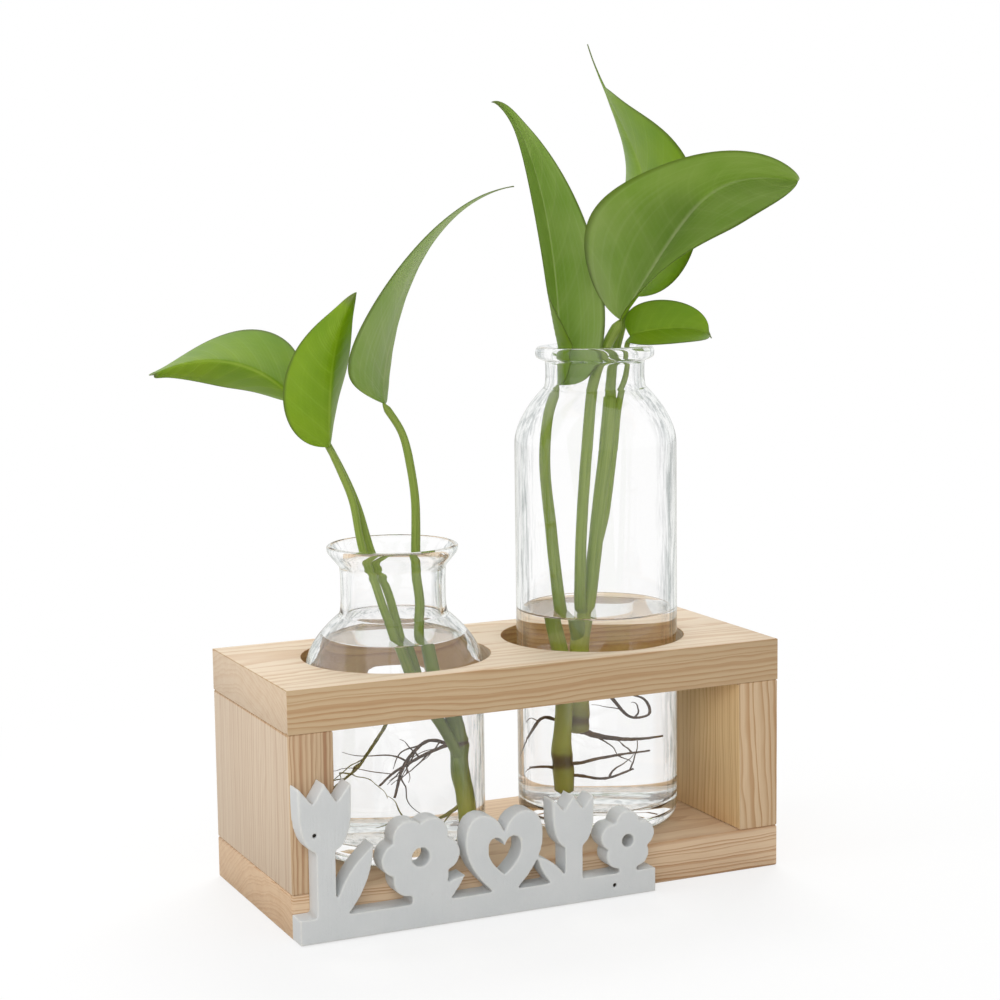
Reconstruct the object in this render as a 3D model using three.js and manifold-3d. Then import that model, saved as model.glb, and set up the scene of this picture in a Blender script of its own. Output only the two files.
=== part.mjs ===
// Hydroponic vase: a pine stand of four boards holding two clear glass bottles
// of water, each with rooted leaf cuttings, and a white cut-out nailed to its front.
// Millimetres, +Z up, front towards -Y. Origin: centre of the stand's underside.

import * as THREE from 'three';
import { mergeVertices } from 'three/addons/utils/BufferGeometryUtils.js';
import { ParametricGeometry } from 'three/addons/geometries/ParametricGeometry.js';
import { RoundedBoxGeometry } from 'three/addons/geometries/RoundedBoxGeometry.js';
import Module from 'manifold-3d';

const wasm = await Module();
wasm.setup();

// Stand
const STAND_WIDTH = 200;
const STAND_DEPTH = 86;
const STAND_HEIGHT = 90;
const BOARD_THICKNESS = 16;
const END_BOARD_THICKNESS = 17;
const EDGE_ROUND = 0.8;
const HOLE_DIAMETER = 71.5;
const TOUCH_GAP = 0.3;

// Dowels between the boards, two at each joint
const DOWEL_DIAMETER = 6;
const DOWEL_LENGTH = 24;
const DOWEL_IN_BOARD = 10;
const DOWEL_INSET = 19;
const DOWEL_CHAMFER = 0.8;

// Short bottle
const SHORT_HEIGHT = 116;
const SHORT_BODY_DIAMETER = 67;
const SHORT_NECK_DIAMETER = 39.5;
const SHORT_LIP_DIAMETER = 49.5;
const SHORT_WALL = 2.4;
const SHORT_BASE_THICKNESS = 7;
const SHORT_NECK_START = 90.5;
const SHORT_SHOULDER_START = 70;
const SHORT_FLARE_HEIGHT = 8;
const SHORT_WATER_DEPTH = 77.5;
const SHORT_OFFSET = -0.6;

// Tall bottle
const TALL_HEIGHT = 187;
const TALL_BODY_DIAMETER = 63;
const TALL_NECK_DIAMETER = 38.2;
const TALL_LIP_DIAMETER = 46;
const TALL_WALL = 2.2;
const TALL_BASE_THICKNESS = 9;
const TALL_NECK_START = 172;
const TALL_SHOULDER_START = 149;
const TALL_BEAD_HEIGHT = 5.2;
const TALL_WATER_DEPTH = 75.2;
const TALL_OFFSET = 2;

// Both bottles
const BASE_CORNER = 6;
const PUNT_RISE = 1.6;
const SHOULDER_POWER = 1.85;
const LIP_ROUND = 1.1;
const GLASS_SEGMENTS = 32;

// Front cut-out and its two nails
const ORNAMENT_WIDTH = 141;
const ORNAMENT_THICKNESS = 9;
const ORNAMENT_BAR_HEIGHT = 9;
const ORNAMENT_LIFT = 0.5;
const ORNAMENT_BEVEL = 0.6;
const FLOWER_STEM = 7;
const UPPER_NAIL = { x: 6, z: 39.5 };
const LOWER_NAIL_X = 124;
const NAIL_DIAMETER = 1.6;
const NAIL_LENGTH = 21;
const NAIL_HEAD_DIAMETER = 3;
const NAIL_HEAD_THICKNESS = 0.8;
const NAIL_SINK = 1;
const NAIL_CLEARANCE = 0.3;

// Cuttings
const ROOT_DIAMETER = 1.6;
const NODE_SWELL = 0.7;
const NODE_SPREAD = 0.05;
const LEAF_THICKNESS = 0.9;
const DRIP_TIP_WIDTH = 0.06;
const STEM_SIDES = 8;
const PETIOLE_SIDES = 6;
const ROOT_SIDES = 5;
const LEAF_SEGMENTS = 12;
const LEAF_ROWS = 16;

// Places worked out from the sizes above
const frontFace = -STAND_DEPTH / 2;
const windowHeight = STAND_HEIGHT - 2 * BOARD_THICKNESS;
const endBoardX = STAND_WIDTH / 2 - END_BOARD_THICKNESS / 2;

// The bottle holes leave half of the spare room between them and half at the ends
const spareRoom = STAND_WIDTH - 2 * END_BOARD_THICKNESS - 2 * HOLE_DIAMETER;
const holeSpacing = HOLE_DIAMETER + spareRoom / 2;

const finish = (color, roughness, extra = {}) =>
  new THREE.MeshStandardMaterial({ color, roughness, metalness: 0, ...extra });
const PINE = finish(0xdcc4a0, 0.65);
const PINE_EDGE = finish(0xc8a77f, 0.7);
const DOWEL_WOOD = finish(0xcfae82, 0.7);
const WHITE_PAINT = finish(0xc4c7c6, 0.75);
const STEEL = finish(0x2e2c2a, 0.45, { metalness: 0.9 });
const GLASS = finish(0xf2f6f4, 0.03, { transparent: true, opacity: 0.3 });
const WATER = finish(0xf6faf8, 0.02, { transparent: true, opacity: 0.35 });
const LEAF = finish(0x6f9c2c, 0.42);
const STEM = finish(0x7f9b48, 0.5);
const ROOT = finish(0x5a4631, 0.8);

// One closed solid from a geometry: only places are kept, shared ones are merged
// and triangles that have shrunk to a line at a pole are dropped
function solid(geometry) {
  const bare = geometry.clone();
  bare.deleteAttribute('normal');
  bare.deleteAttribute('uv');
  const merged = mergeVertices(bare, 1e-4);
  const index = merged.index.array;
  const kept = [];
  for (let i = 0; i < index.length; i += 3) {
    const [a, b, c] = [index[i], index[i + 1], index[i + 2]];
    if (a !== b && b !== c && c !== a) kept.push(a, b, c);
  }
  return new wasm.Manifold(
    new wasm.Mesh({
      numProp: 3,
      vertProperties: new Float32Array(merged.attributes.position.array),
      triVerts: new Uint32Array(kept),
    }),
  );
}

function geometryOf(body) {
  const mesh = body.getMesh();
  const geometry = new THREE.BufferGeometry();
  geometry.setAttribute('position', new THREE.BufferAttribute(mesh.vertProperties, 3));
  geometry.setIndex(new THREE.BufferAttribute(mesh.triVerts, 1));
  geometry.computeVertexNormals();
  return geometry;
}

const part = new THREE.Group();

function addPiece(name, body, material) {
  const mesh = new THREE.Mesh(geometryOf(body), material);
  mesh.name = name;
  part.add(mesh);
}

const union = (bodies) => bodies.reduce((whole, body) => whole.add(body));
const vec = (x, y, z) => new THREE.Vector3(x, y, z);

// An upright cylinder standing on z
function column(radius, height, x, y, z, segments = 12) {
  const geometry = new THREE.CylinderGeometry(radius, radius, height, segments);
  geometry.rotateX(Math.PI / 2);
  geometry.translate(x, y, z + height / 2);
  return solid(geometry);
}

// A solid turned about an upright axis at x, y from [radius, height] pairs
function turned(profile, x, y, z, segments = GLASS_SEGMENTS) {
  const points = profile.map(([r, h]) => new THREE.Vector2(r, h));
  const geometry = new THREE.LatheGeometry(points, segments);
  geometry.rotateX(Math.PI / 2);
  geometry.translate(x, y, z);
  return solid(geometry);
}

// Points of an arc in a turned profile, angles in degrees from the +radius direction
function arc(r, h, radius, from, to, steps) {
  const points = [];
  for (let i = 0; i <= steps; i += 1) {
    const angle = THREE.MathUtils.degToRad(from + ((to - from) * i) / steps);
    points.push([r + radius * Math.cos(angle), h + radius * Math.sin(angle)]);
  }
  return points;
}

// Stand: four boards, butt-jointed and dowelled. The end boards stand between
// the bottom board and the top board, which has one round hole for each bottle.

function board(width, height, x, z) {
  const geometry = new RoundedBoxGeometry(width, STAND_DEPTH, height, 1, EDGE_ROUND);
  geometry.translate(x, 0, z);
  return solid(geometry);
}

const dowelFoot = BOARD_THICKNESS - DOWEL_IN_BOARD;
const dowelSpots = [];
for (const [sideName, side] of [['left', -1], ['right', 1]]) {
  for (const [endName, end] of [['front', -1], ['back', 1]]) {
    const y = end * (STAND_DEPTH / 2 - DOWEL_INSET);
    dowelSpots.push({ name: `${sideName}_${endName}`, x: side * endBoardX, y });
  }
}

// Blind holes: those in the flat boards are as deep as a dowel's share of them,
// those in the end boards take the rest of it
const dowelBore = DOWEL_DIAMETER / 2 + TOUCH_GAP;
const upperHoleFoot = STAND_HEIGHT - BOARD_THICKNESS - (DOWEL_LENGTH - DOWEL_IN_BOARD);
const lowerHoles = dowelSpots.map(({ x, y }) =>
  column(dowelBore, DOWEL_LENGTH + 2 * TOUCH_GAP, x, y, dowelFoot - TOUCH_GAP));
const upperHoles = dowelSpots.map(({ x, y }) =>
  column(dowelBore, DOWEL_LENGTH + 2 * TOUCH_GAP, x, y, upperHoleFoot - TOUCH_GAP));

const shortX = -holeSpacing / 2 + SHORT_OFFSET;
const tallX = holeSpacing / 2 + TALL_OFFSET;
const bottleHoles = [-1, 1].map((side) =>
  column(HOLE_DIAMETER / 2, 2 * BOARD_THICKNESS, (side * holeSpacing) / 2, 0,
    STAND_HEIGHT - 1.5 * BOARD_THICKNESS, 48));

const topBoard = board(STAND_WIDTH, BOARD_THICKNESS, 0, STAND_HEIGHT - BOARD_THICKNESS / 2)
  .subtract(union([...bottleHoles, ...upperHoles]));
const bottomBoard = board(STAND_WIDTH, BOARD_THICKNESS, 0, BOARD_THICKNESS / 2)
  .subtract(union(lowerHoles));
const [leftEnd, rightEnd] = [-1, 1].map((side) => {
  const holes = [...lowerHoles, ...upperHoles];
  return board(END_BOARD_THICKNESS, windowHeight, side * endBoardX, STAND_HEIGHT / 2)
    .subtract(union(holes));
});

const dowelProfile = [
  [0, 0],
  [DOWEL_DIAMETER / 2 - DOWEL_CHAMFER, 0],
  [DOWEL_DIAMETER / 2, DOWEL_CHAMFER],
  [DOWEL_DIAMETER / 2, DOWEL_LENGTH - DOWEL_CHAMFER],
  [DOWEL_DIAMETER / 2 - DOWEL_CHAMFER, DOWEL_LENGTH],
  [0, DOWEL_LENGTH],
];
for (const { name, x, y } of dowelSpots) {
  addPiece(`lower_dowel_${name}`, turned(dowelProfile, x, y, dowelFoot, 12), DOWEL_WOOD);
  addPiece(`upper_dowel_${name}`, turned(dowelProfile, x, y, upperHoleFoot, 12), DOWEL_WOOD);
}

// Front cut-out: a row of garden flowers sawn from one board, on a bar that stands
// flush with the stand's left end. Shapes are drawn from its lower left corner.

function almond(x0, y0, x1, y1, width) {
  const [dx, dy] = [x1 - x0, y1 - y0];
  const length = Math.hypot(dx, dy);
  const [nx, ny] = [(-dy / length) * width, (dx / length) * width];
  const [mx, my] = [(x0 + x1) / 2, (y0 + y1) / 2];
  const shape = new THREE.Shape();
  shape.moveTo(x0, y0);
  shape.quadraticCurveTo(mx - nx, my - ny, x1, y1);
  shape.quadraticCurveTo(mx + nx, my + ny, x0, y0);
  return shape;
}

function rectangle(x0, y0, x1, y1) {
  const shape = new THREE.Shape();
  shape.moveTo(x0, y0);
  shape.lineTo(x1, y0);
  shape.lineTo(x1, y1);
  shape.lineTo(x0, y1);
  shape.closePath();
  return shape;
}

function disc(x, y, radius) {
  const shape = new THREE.Shape();
  shape.absarc(x, y, radius, 0, 2 * Math.PI, false);
  return shape;
}

function tulipCup(x, foot, width, height) {
  const half = width / 2;
  const shape = new THREE.Shape();
  shape.moveTo(x, foot);
  shape.bezierCurveTo(x + half, foot, x + half, foot + 0.45 * height, x + half, foot + height);
  shape.lineTo(x + 0.45 * half, foot + 0.72 * height);
  shape.lineTo(x, foot + height);
  shape.lineTo(x - 0.45 * half, foot + 0.72 * height);
  shape.lineTo(x - half, foot + height);
  shape.bezierCurveTo(x - half, foot + 0.45 * height, x - half, foot, x, foot);
  return shape;
}

function heart(x, foot, width, height) {
  const half = width / 2;
  const shape = new THREE.Shape();
  const dip = foot + 0.76 * height;
  shape.moveTo(x, foot);
  shape.bezierCurveTo(x + 0.5 * half, foot + 0.2 * height, x + half, foot + 0.4 * height,
    x + half, foot + 0.72 * height);
  shape.bezierCurveTo(x + half, foot + 1.1 * height, x + 0.15 * half, foot + 1.08 * height, x, dip);
  shape.bezierCurveTo(x - 0.15 * half, foot + 1.08 * height, x - half, foot + 1.1 * height,
    x - half, foot + 0.72 * height);
  shape.bezierCurveTo(x - half, foot + 0.4 * height, x - 0.5 * half, foot + 0.2 * height, x, foot);
  return shape;
}

function daisy(x, y, petals, ring, petalRadius) {
  const shapes = [disc(x, y, ring)];
  for (let i = 0; i < petals; i += 1) {
    const angle = (2 * Math.PI * (i + 0.5)) / petals - Math.PI / 2;
    shapes.push(disc(x + ring * Math.cos(angle), y + ring * Math.sin(angle), petalRadius));
  }
  shapes.push(rectangle(x - FLOWER_STEM / 2, 2, x + FLOWER_STEM / 2, y));
  return shapes;
}

function tulip(x, cupFoot, width, height) {
  const stem = rectangle(x - FLOWER_STEM / 2, 2, x + FLOWER_STEM / 2, cupFoot + 4);
  return [stem, tulipCup(x, cupFoot, width, height)];
}

const ornamentShapes = [
  rectangle(0, 0, ORNAMENT_WIDTH, ORNAMENT_BAR_HEIGHT),
  ...tulip(10, 32, 20, 25),
  almond(12, 4, 28, 33, 8),
  ...daisy(46, 26, 6, 9, 6.2),
  almond(45, 4, 63, 17, 6),
  heart(79, 5, 31, 33),
  ...tulip(107, 21, 17, 20),
  almond(106, 4, 92, 20, 6),
  ...daisy(129.5, 21, 5, 6.5, 5),
];
const ornamentHoles = [disc(46, 26, 3.4), heart(79, 15, 13, 14), disc(129.5, 21, 2.4)];

// Both run through the thickness; the cut tool is longer and square-edged
function sawn(shape, bevel, thickness) {
  const geometry = new THREE.ExtrudeGeometry(shape, {
    depth: thickness - 2 * bevel,
    bevelEnabled: bevel > 0,
    bevelThickness: bevel,
    bevelSize: bevel,
    bevelOffset: -bevel,
    bevelSegments: 1,
    curveSegments: 5,
  });
  geometry.translate(-STAND_WIDTH / 2, ORNAMENT_LIFT, bevel);
  geometry.rotateX(Math.PI / 2);
  return solid(geometry);
}

const ornamentBlank = union(ornamentShapes.map((s) => sawn(s, ORNAMENT_BEVEL, ORNAMENT_THICKNESS)))
  .translate([0, frontFace, 0]);
const ornamentCut = union(ornamentHoles.map((s) => sawn(s, 0, 3 * ORNAMENT_THICKNESS)))
  .translate([0, frontFace + ORNAMENT_THICKNESS, 0]);

// Two thin nails with sunk heads hold the cut-out: one high in the left end board
// and one low in the bottom board
const nailSpots = [
  { name: 'upper_nail', x: UPPER_NAIL.x - STAND_WIDTH / 2, z: UPPER_NAIL.z },
  {
    name: 'lower_nail',
    x: LOWER_NAIL_X - STAND_WIDTH / 2,
    z: ORNAMENT_LIFT + ORNAMENT_BAR_HEIGHT / 2,
  },
];
const ornamentFront = frontFace - ORNAMENT_THICKNESS;

function nailShape(gap) {
  const shank = NAIL_DIAMETER / 2 + gap;
  const head = NAIL_HEAD_DIAMETER / 2 + gap;
  const headFoot = NAIL_LENGTH - NAIL_HEAD_THICKNESS - gap;
  const top = NAIL_LENGTH + (gap > 0 ? 3 * NAIL_SINK : 0);
  return [
    [0, -4 * gap],
    [shank, 2 * NAIL_DIAMETER],
    [shank, headFoot],
    [head, headFoot],
    [head, top],
    [0, top],
  ];
}

// The nail points back into the wood, with its head just under the painted face
function nailAt(spot, gap) {
  const points = nailShape(gap).map(([r, h]) => new THREE.Vector2(r, h));
  const geometry = new THREE.LatheGeometry(points, 12);
  geometry.rotateX(Math.PI);
  geometry.translate(spot.x, ornamentFront + NAIL_SINK + NAIL_LENGTH, spot.z);
  return solid(geometry);
}

const nailHoles = union(nailSpots.map((spot) => nailAt(spot, NAIL_CLEARANCE)));
for (const spot of nailSpots) addPiece(spot.name, nailAt(spot, 0), STEEL);

addPiece('top_board', topBoard, PINE);
addPiece('bottom_board', bottomBoard.subtract(nailHoles), PINE);
addPiece('left_end_board', leftEnd.subtract(nailHoles), PINE_EDGE);
addPiece('right_end_board', rightEnd, PINE_EDGE);
addPiece('front_ornament', ornamentBlank.subtract(ornamentCut).subtract(nailHoles), WHITE_PAINT);

// Bottles: blown clear glass with a domed underside. Each outside and inside is a
// turned profile; the water fills the inside less a thin gap.

function footProfile(body, corner) {
  const ring = body - corner;
  return [[0, PUNT_RISE], [0.55 * ring, 0.8 * PUNT_RISE], [0.85 * ring, 0],
    ...arc(ring, corner, corner, -90, 0, 3)];
}

function floorProfile(body, corner, floor) {
  return [[0, floor + PUNT_RISE], [0.5 * (body - corner), floor + 0.7 * PUNT_RISE],
    ...arc(body - corner, floor + corner, corner, -90, 0, 3)];
}

// A shoulder turns in from the body ever faster, up to the foot of the neck
function shoulder(body, neck, start, end) {
  const points = [];
  const steps = 6;
  for (let i = 0; i <= steps; i += 1) {
    const up = i / steps;
    points.push([body - (body - neck) * up ** SHOULDER_POWER, start + (end - start) * up]);
  }
  return points;
}

// Short bottle: straight neck and a flared lip
const shortBottle = {
  x: shortX,
  body: SHORT_BODY_DIAMETER / 2,
  neck: SHORT_NECK_DIAMETER / 2,
  lip: SHORT_LIP_DIAMETER / 2,
  height: SHORT_HEIGHT,
  neckStart: SHORT_NECK_START,
  wall: SHORT_WALL,
  floor: SHORT_BASE_THICKNESS,
  water: SHORT_BASE_THICKNESS + SHORT_WATER_DEPTH,
};
shortBottle.neckBore = shortBottle.neck - SHORT_WALL;
shortBottle.bodyBore = shortBottle.body - SHORT_WALL;

function shortOutside(b) {
  const flareFoot = b.height - SHORT_FLARE_HEIGHT;
  return [
    ...footProfile(b.body, BASE_CORNER),
    ...shoulder(b.body, b.neck, SHORT_SHOULDER_START, b.neckStart),
    [b.neck, flareFoot - 1],
    [b.neck + 0.12 * (b.lip - b.neck), flareFoot],
    [b.neck + 0.45 * (b.lip - b.neck), flareFoot + 0.35 * SHORT_FLARE_HEIGHT],
    [b.lip - 0.4 * LIP_ROUND, b.height - 2.4 * LIP_ROUND],
    ...arc(b.lip - LIP_ROUND, b.height - LIP_ROUND, LIP_ROUND, 0, 90, 2),
    [0, b.height],
  ];
}

function shortInside(b, gap) {
  const flareFoot = b.height - SHORT_FLARE_HEIGHT;
  const neck = b.neckBore - gap;
  return [
    ...floorProfile(b.bodyBore - gap, BASE_CORNER - SHORT_WALL, b.floor + gap),
    ...shoulder(b.bodyBore - gap, neck, SHORT_SHOULDER_START - 0.4 * b.wall,
      b.neckStart - 0.4 * b.wall),
    [neck, flareFoot],
    [neck + 0.3 * (b.lip - b.neck), flareFoot + 0.45 * SHORT_FLARE_HEIGHT],
    [b.lip - 2.6 * LIP_ROUND, b.height - 0.6 * LIP_ROUND],
    [b.lip - 1.9 * LIP_ROUND, b.height + 1],
    [0, b.height + 1],
  ];
}

// Tall bottle: short neck and a flat bead at the mouth
const tallBottle = {
  x: tallX,
  body: TALL_BODY_DIAMETER / 2,
  neck: TALL_NECK_DIAMETER / 2,
  lip: TALL_LIP_DIAMETER / 2,
  height: TALL_HEIGHT,
  neckStart: TALL_NECK_START,
  wall: TALL_WALL,
  floor: TALL_BASE_THICKNESS,
  water: TALL_BASE_THICKNESS + TALL_WATER_DEPTH,
};
tallBottle.neckBore = tallBottle.neck - TALL_WALL;
tallBottle.bodyBore = tallBottle.body - TALL_WALL;

function tallOutside(b) {
  const beadFoot = b.height - TALL_BEAD_HEIGHT;
  return [
    ...footProfile(b.body, BASE_CORNER + 1.5),
    ...shoulder(b.body, b.neck, TALL_SHOULDER_START, b.neckStart),
    [b.neck, beadFoot - 0.8],
    [b.neck + 0.6 * (b.lip - b.neck), beadFoot],
    [b.lip, beadFoot + 0.3 * TALL_BEAD_HEIGHT],
    ...arc(b.lip - LIP_ROUND, b.height - LIP_ROUND, LIP_ROUND, 0, 90, 2),
    [0, b.height],
  ];
}

function tallInside(b, gap) {
  const neck = b.neckBore - gap;
  return [
    ...floorProfile(b.bodyBore - gap, BASE_CORNER - TALL_WALL, b.floor + gap),
    ...shoulder(b.bodyBore - gap, neck, TALL_SHOULDER_START - 0.4 * b.wall,
      b.neckStart - 0.4 * b.wall),
    [neck, b.height - LIP_ROUND],
    [neck + LIP_ROUND, b.height],
    [neck + LIP_ROUND, b.height + 1],
    [0, b.height + 1],
  ];
}

for (const [name, b, outside, inside] of [
  ['short', shortBottle, shortOutside, shortInside],
  ['tall', tallBottle, tallOutside, tallInside],
]) {
  const shell = turned(outside(b), b.x, 0, BOARD_THICKNESS)
    .subtract(turned(inside(b, 0), b.x, 0, BOARD_THICKNESS));
  addPiece(`${name}_bottle`, shell, GLASS);
  const below = column(b.body, b.water, b.x, 0, BOARD_THICKNESS, GLASS_SEGMENTS);
  b.filling = turned(inside(b, TOUCH_GAP), b.x, 0, BOARD_THICKNESS).intersect(below);
}

// Cuttings: rooted pothos, one in the short bottle and two in the tall one

// Places in a bottle are shares of the bore and of the height of their zone, so that
// they follow the bottle; over the mouth they are millimetres from the rim's centre
function placesIn(b) {
  const zone = (bore, from, to) => (across, back, up) =>
    vec(b.x + across * bore, back * bore, BOARD_THICKNESS + from + up * (to - from));
  return {
    underWater: zone(b.bodyBore, b.floor, b.water),
    overWater: zone(b.bodyBore, b.water, b.neckStart),
    neck: zone(b.neckBore, b.neckStart, b.height),
    overMouth: (across, back, up) => vec(b.x + across, back, BOARD_THICKNESS + b.height + up),
  };
}

// A closed tapering tube along a path, with flat ends and, on a stem, a swollen node.
// Grown, it is the clearance that is cut out of what lies round it.
function tube({ path, from, to, steps, sides = PETIOLE_SIDES, node }, grow = 0) {
  const curve = new THREE.CatmullRomCurve3(path, false, 'centripetal');
  const frames = curve.computeFrenetFrames(steps, false);
  const rows = steps + 2;
  const shape = (u, v, target) => {
    const row = Math.round(v * rows);
    const i = THREE.MathUtils.clamp(row - 1, 0, steps);
    const share = i / steps;
    let radius = (from + (to - from) * share) / 2 + grow;
    if (node !== undefined) radius += NODE_SWELL * Math.exp(-(((share - node) / NODE_SPREAD) ** 2));
    if (row === 0 || row === rows) radius = 0;
    const pastEnd = i === 0 ? -grow : i === steps ? grow : 0;
    const angle = 2 * Math.PI * (u % 1);
    target.copy(curve.getPointAt(share));
    target.addScaledVector(frames.tangents[i], pastEnd);
    target.addScaledVector(frames.normals[i], radius * Math.cos(angle));
    target.addScaledVector(frames.binormals[i], radius * Math.sin(angle));
  };
  return solid(new ParametricGeometry(shape, sides, rows));
}

const clearOf = (body, stem) => body.subtract(tube(stem, TOUCH_GAP));
const seated = (stem) => (stem.on ? clearOf(tube(stem), stem.on) : tube(stem));

// Half the width of a leaf along its midrib, as a share of the widest. The broad part
// swells from the base and narrows again, each by its own power; a narrow drip tip
// takes up the last share of the length.
function leafOutline(along, { basePower, tipPower, dripTip }) {
  const peak = basePower / (basePower + tipPower);
  const onBroad = Math.min(along / (1 - dripTip), 1);
  const broad = (onBroad / peak) ** basePower * ((1 - onBroad) / (1 - peak)) ** tipPower;
  const narrow = dripTip ? DRIP_TIP_WIDTH * along * ((1 - along) / dripTip) ** 0.8 : 0;
  return (broad ** 4 + narrow ** 4) ** 0.25;
}

// The middle surface of a blade. The midrib is a cubic curve from the petiole's end;
// side runs from -1 on the left edge to 1 on the right one. Each half is folded up
// from the midrib by its own angle, and the whole is twisted towards the tip.
function leafSurface(leaf) {
  const midrib = new THREE.CubicBezierCurve3(leaf.on.path.at(-1), ...leaf.midrib);
  const across = vec(...leaf.across);
  return (side, along) => {
    const forward = midrib.getTangent(along);
    const sideways = across.clone().addScaledVector(forward, -across.dot(forward)).normalize();
    const upward = sideways.clone().cross(forward);
    const turn = new THREE.Quaternion()
      .setFromAxisAngle(forward, -THREE.MathUtils.degToRad(leaf.twist * along));
    const half = side < 0 ? leaf.left : leaf.right;
    const fold = THREE.MathUtils.degToRad(half.fold);
    const width = half.width * leafOutline(along, leaf);
    const offset = sideways.multiplyScalar(width * side * Math.cos(fold))
      .addScaledVector(upward, width * (Math.abs(side) * Math.sin(fold) + leaf.curl * side * side))
      .applyQuaternion(turn);
    const point = midrib.getPoint(along).add(offset);
    return leaf.hold ? leaf.hold(point) : point;
  };
}

// A blade that starts inside a mouth lies rolled along the bore there: its distance
// from the axis eases to a limit, which opens out above the rim
function rolledIn(b) {
  return (point) => {
    const over = Math.max(0, point.z - BOARD_THICKNESS - b.height - LIP_ROUND);
    const limit = b.neckBore - LEAF_THICKNESS - TOUCH_GAP + 0.9 * over;
    const free = 0.85 * limit;
    const distance = Math.hypot(point.x - b.x, point.y);
    if (distance <= free) return point;
    const room = limit - free;
    const held = free + room * (1 - Math.exp((free - distance) / room));
    return vec(b.x + ((point.x - b.x) * held) / distance, (point.y * held) / distance, point.z);
  };
}

// A blade has a thin lens as its section, thinner towards both ends
function blade(leaf) {
  const surface = leafSurface(leaf);
  const nudge = 1e-3;
  const shape = (u, v, target) => {
    const along = (1 - Math.cos(Math.PI * v)) / 2;
    const isEnd = v === 0 || v === 1;
    const angle = 2 * Math.PI * (u % 1);
    const side = isEnd ? 0 : Math.cos(angle);
    const [lower, upper] = [Math.max(along - nudge, 0), Math.min(along + nudge, 1)];
    const forward = surface(side, upper).sub(surface(side, lower));
    const sideways = surface(Math.min(side + nudge, 1), along)
      .sub(surface(Math.max(side - nudge, -1), along));
    const normal = forward.cross(sideways).normalize();
    const thickness = isEnd ? 0 : LEAF_THICKNESS * Math.sqrt(Math.sin(Math.PI * v));
    target.copy(surface(side, along)).addScaledVector(normal, (thickness / 2) * Math.sin(angle));
  };
  return clearOf(solid(new ParametricGeometry(shape, LEAF_SEGMENTS, LEAF_ROWS)), leaf.on);
}

// Short bottle: a piece of vine standing on its cut end, with three petioles and with
// roots from both its nodes
const inShort = placesIn(shortBottle);

const shortVine = {
  path: [
    inShort.underWater(0.62, -0.29, 0.019),
    inShort.underWater(0.59, -0.27, 0.16),
    inShort.underWater(0.54, -0.25, 0.3),
    inShort.underWater(0.53, -0.25, 0.44),
    inShort.underWater(0.47, -0.21, 0.6),
    inShort.underWater(0.4, -0.18, 0.68),
  ],
  from: 6.4,
  to: 4.8,
  steps: 9,
  sides: STEM_SIDES,
  node: 0.62,
};
const shortPetioleLeft = {
  on: shortVine,
  path: [
    inShort.underWater(0.52, -0.24, 0.44),
    inShort.underWater(0.33, -0.19, 0.571),
    inShort.underWater(0.14, -0.13, 0.79),
    inShort.underWater(0.035, -0.08, 0.963),
    inShort.neck(-0.075, -0.03, 0.17),
    inShort.neck(-0.24, 0.06, 0.54),
    inShort.neck(-0.45, 0.14, 0.91),
    inShort.overMouth(-11.9, 5.4, 15.1),
    inShort.overMouth(-17.2, 11.4, 31),
    inShort.overMouth(-24, 16.6, 45.4),
    inShort.overMouth(-31.3, 16.8, 54),
  ],
  from: 3.8,
  to: 2.6,
  steps: 20,
};
const shortPetioleMiddle = {
  on: shortVine,
  path: [
    inShort.underWater(0.54, -0.27, 0.36),
    inShort.underWater(0.38, -0.36, 0.5),
    inShort.underWater(0.02, -0.29, 0.807),
    inShort.underWater(-0.11, -0.225, 0.98),
    inShort.neck(-0.4, -0.28, 0.22),
    inShort.neck(-0.54, -0.2, 0.58),
    inShort.neck(-0.72, -0.09, 0.95),
    inShort.overMouth(-14.6, 2.9, 17.5),
    inShort.overMouth(-18.2, 5.2, 28.3),
    inShort.overMouth(-21.6, 7, 36.9),
  ],
  from: 3.7,
  to: 2.6,
  steps: 18,
};
const shortPetioleRight = {
  on: shortVine,
  path: [
    inShort.underWater(0.41, -0.18, 0.67),
    inShort.underWater(0.32, -0.13, 0.779),
    inShort.underWater(0.3, -0.07, 0.942),
    inShort.neck(0.59, -0.075, 0.13),
    inShort.neck(0.54, -0.04, 0.51),
    inShort.neck(0.53, -0.04, 0.88),
    inShort.overMouth(9.4, -0.6, 14.8),
    inShort.overMouth(8.3, 0.8, 28.3),
    inShort.overMouth(5.8, 2.6, 41.1),
    inShort.overMouth(-1, 4, 52.5),
  ],
  from: 4.2,
  to: 2.8,
  steps: 15,
};
const shortRootUpper = {
  on: shortVine,
  path: [
    inShort.underWater(0.53, -0.25, 0.455),
    inShort.underWater(0.17, -0.17, 0.38),
    inShort.underWater(-0.05, -0.12, 0.32),
    inShort.underWater(-0.2, -0.06, 0.25),
  ],
  from: ROOT_DIAMETER,
  to: ROOT_DIAMETER / 2,
  steps: 6,
  sides: ROOT_SIDES,
};
const shortRootArc = {
  on: shortVine,
  path: [
    inShort.underWater(0.54, -0.25, 0.399),
    inShort.underWater(0.3, -0.04, 0.45),
    inShort.underWater(0.12, 0.08, 0.34),
    inShort.underWater(0.02, 0.12, 0.17),
  ],
  from: ROOT_DIAMETER,
  to: ROOT_DIAMETER / 2,
  steps: 7,
  sides: ROOT_SIDES,
};
const shortRootLower = {
  on: shortVine,
  path: [
    inShort.underWater(0.59, -0.27, 0.15),
    inShort.underWater(0.34, -0.22, 0.07),
    inShort.underWater(0.12, -0.17, 0.06),
    inShort.underWater(-0.12, -0.13, 0.05),
  ],
  from: ROOT_DIAMETER,
  to: ROOT_DIAMETER / 2,
  steps: 6,
  sides: ROOT_SIDES,
};
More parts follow.
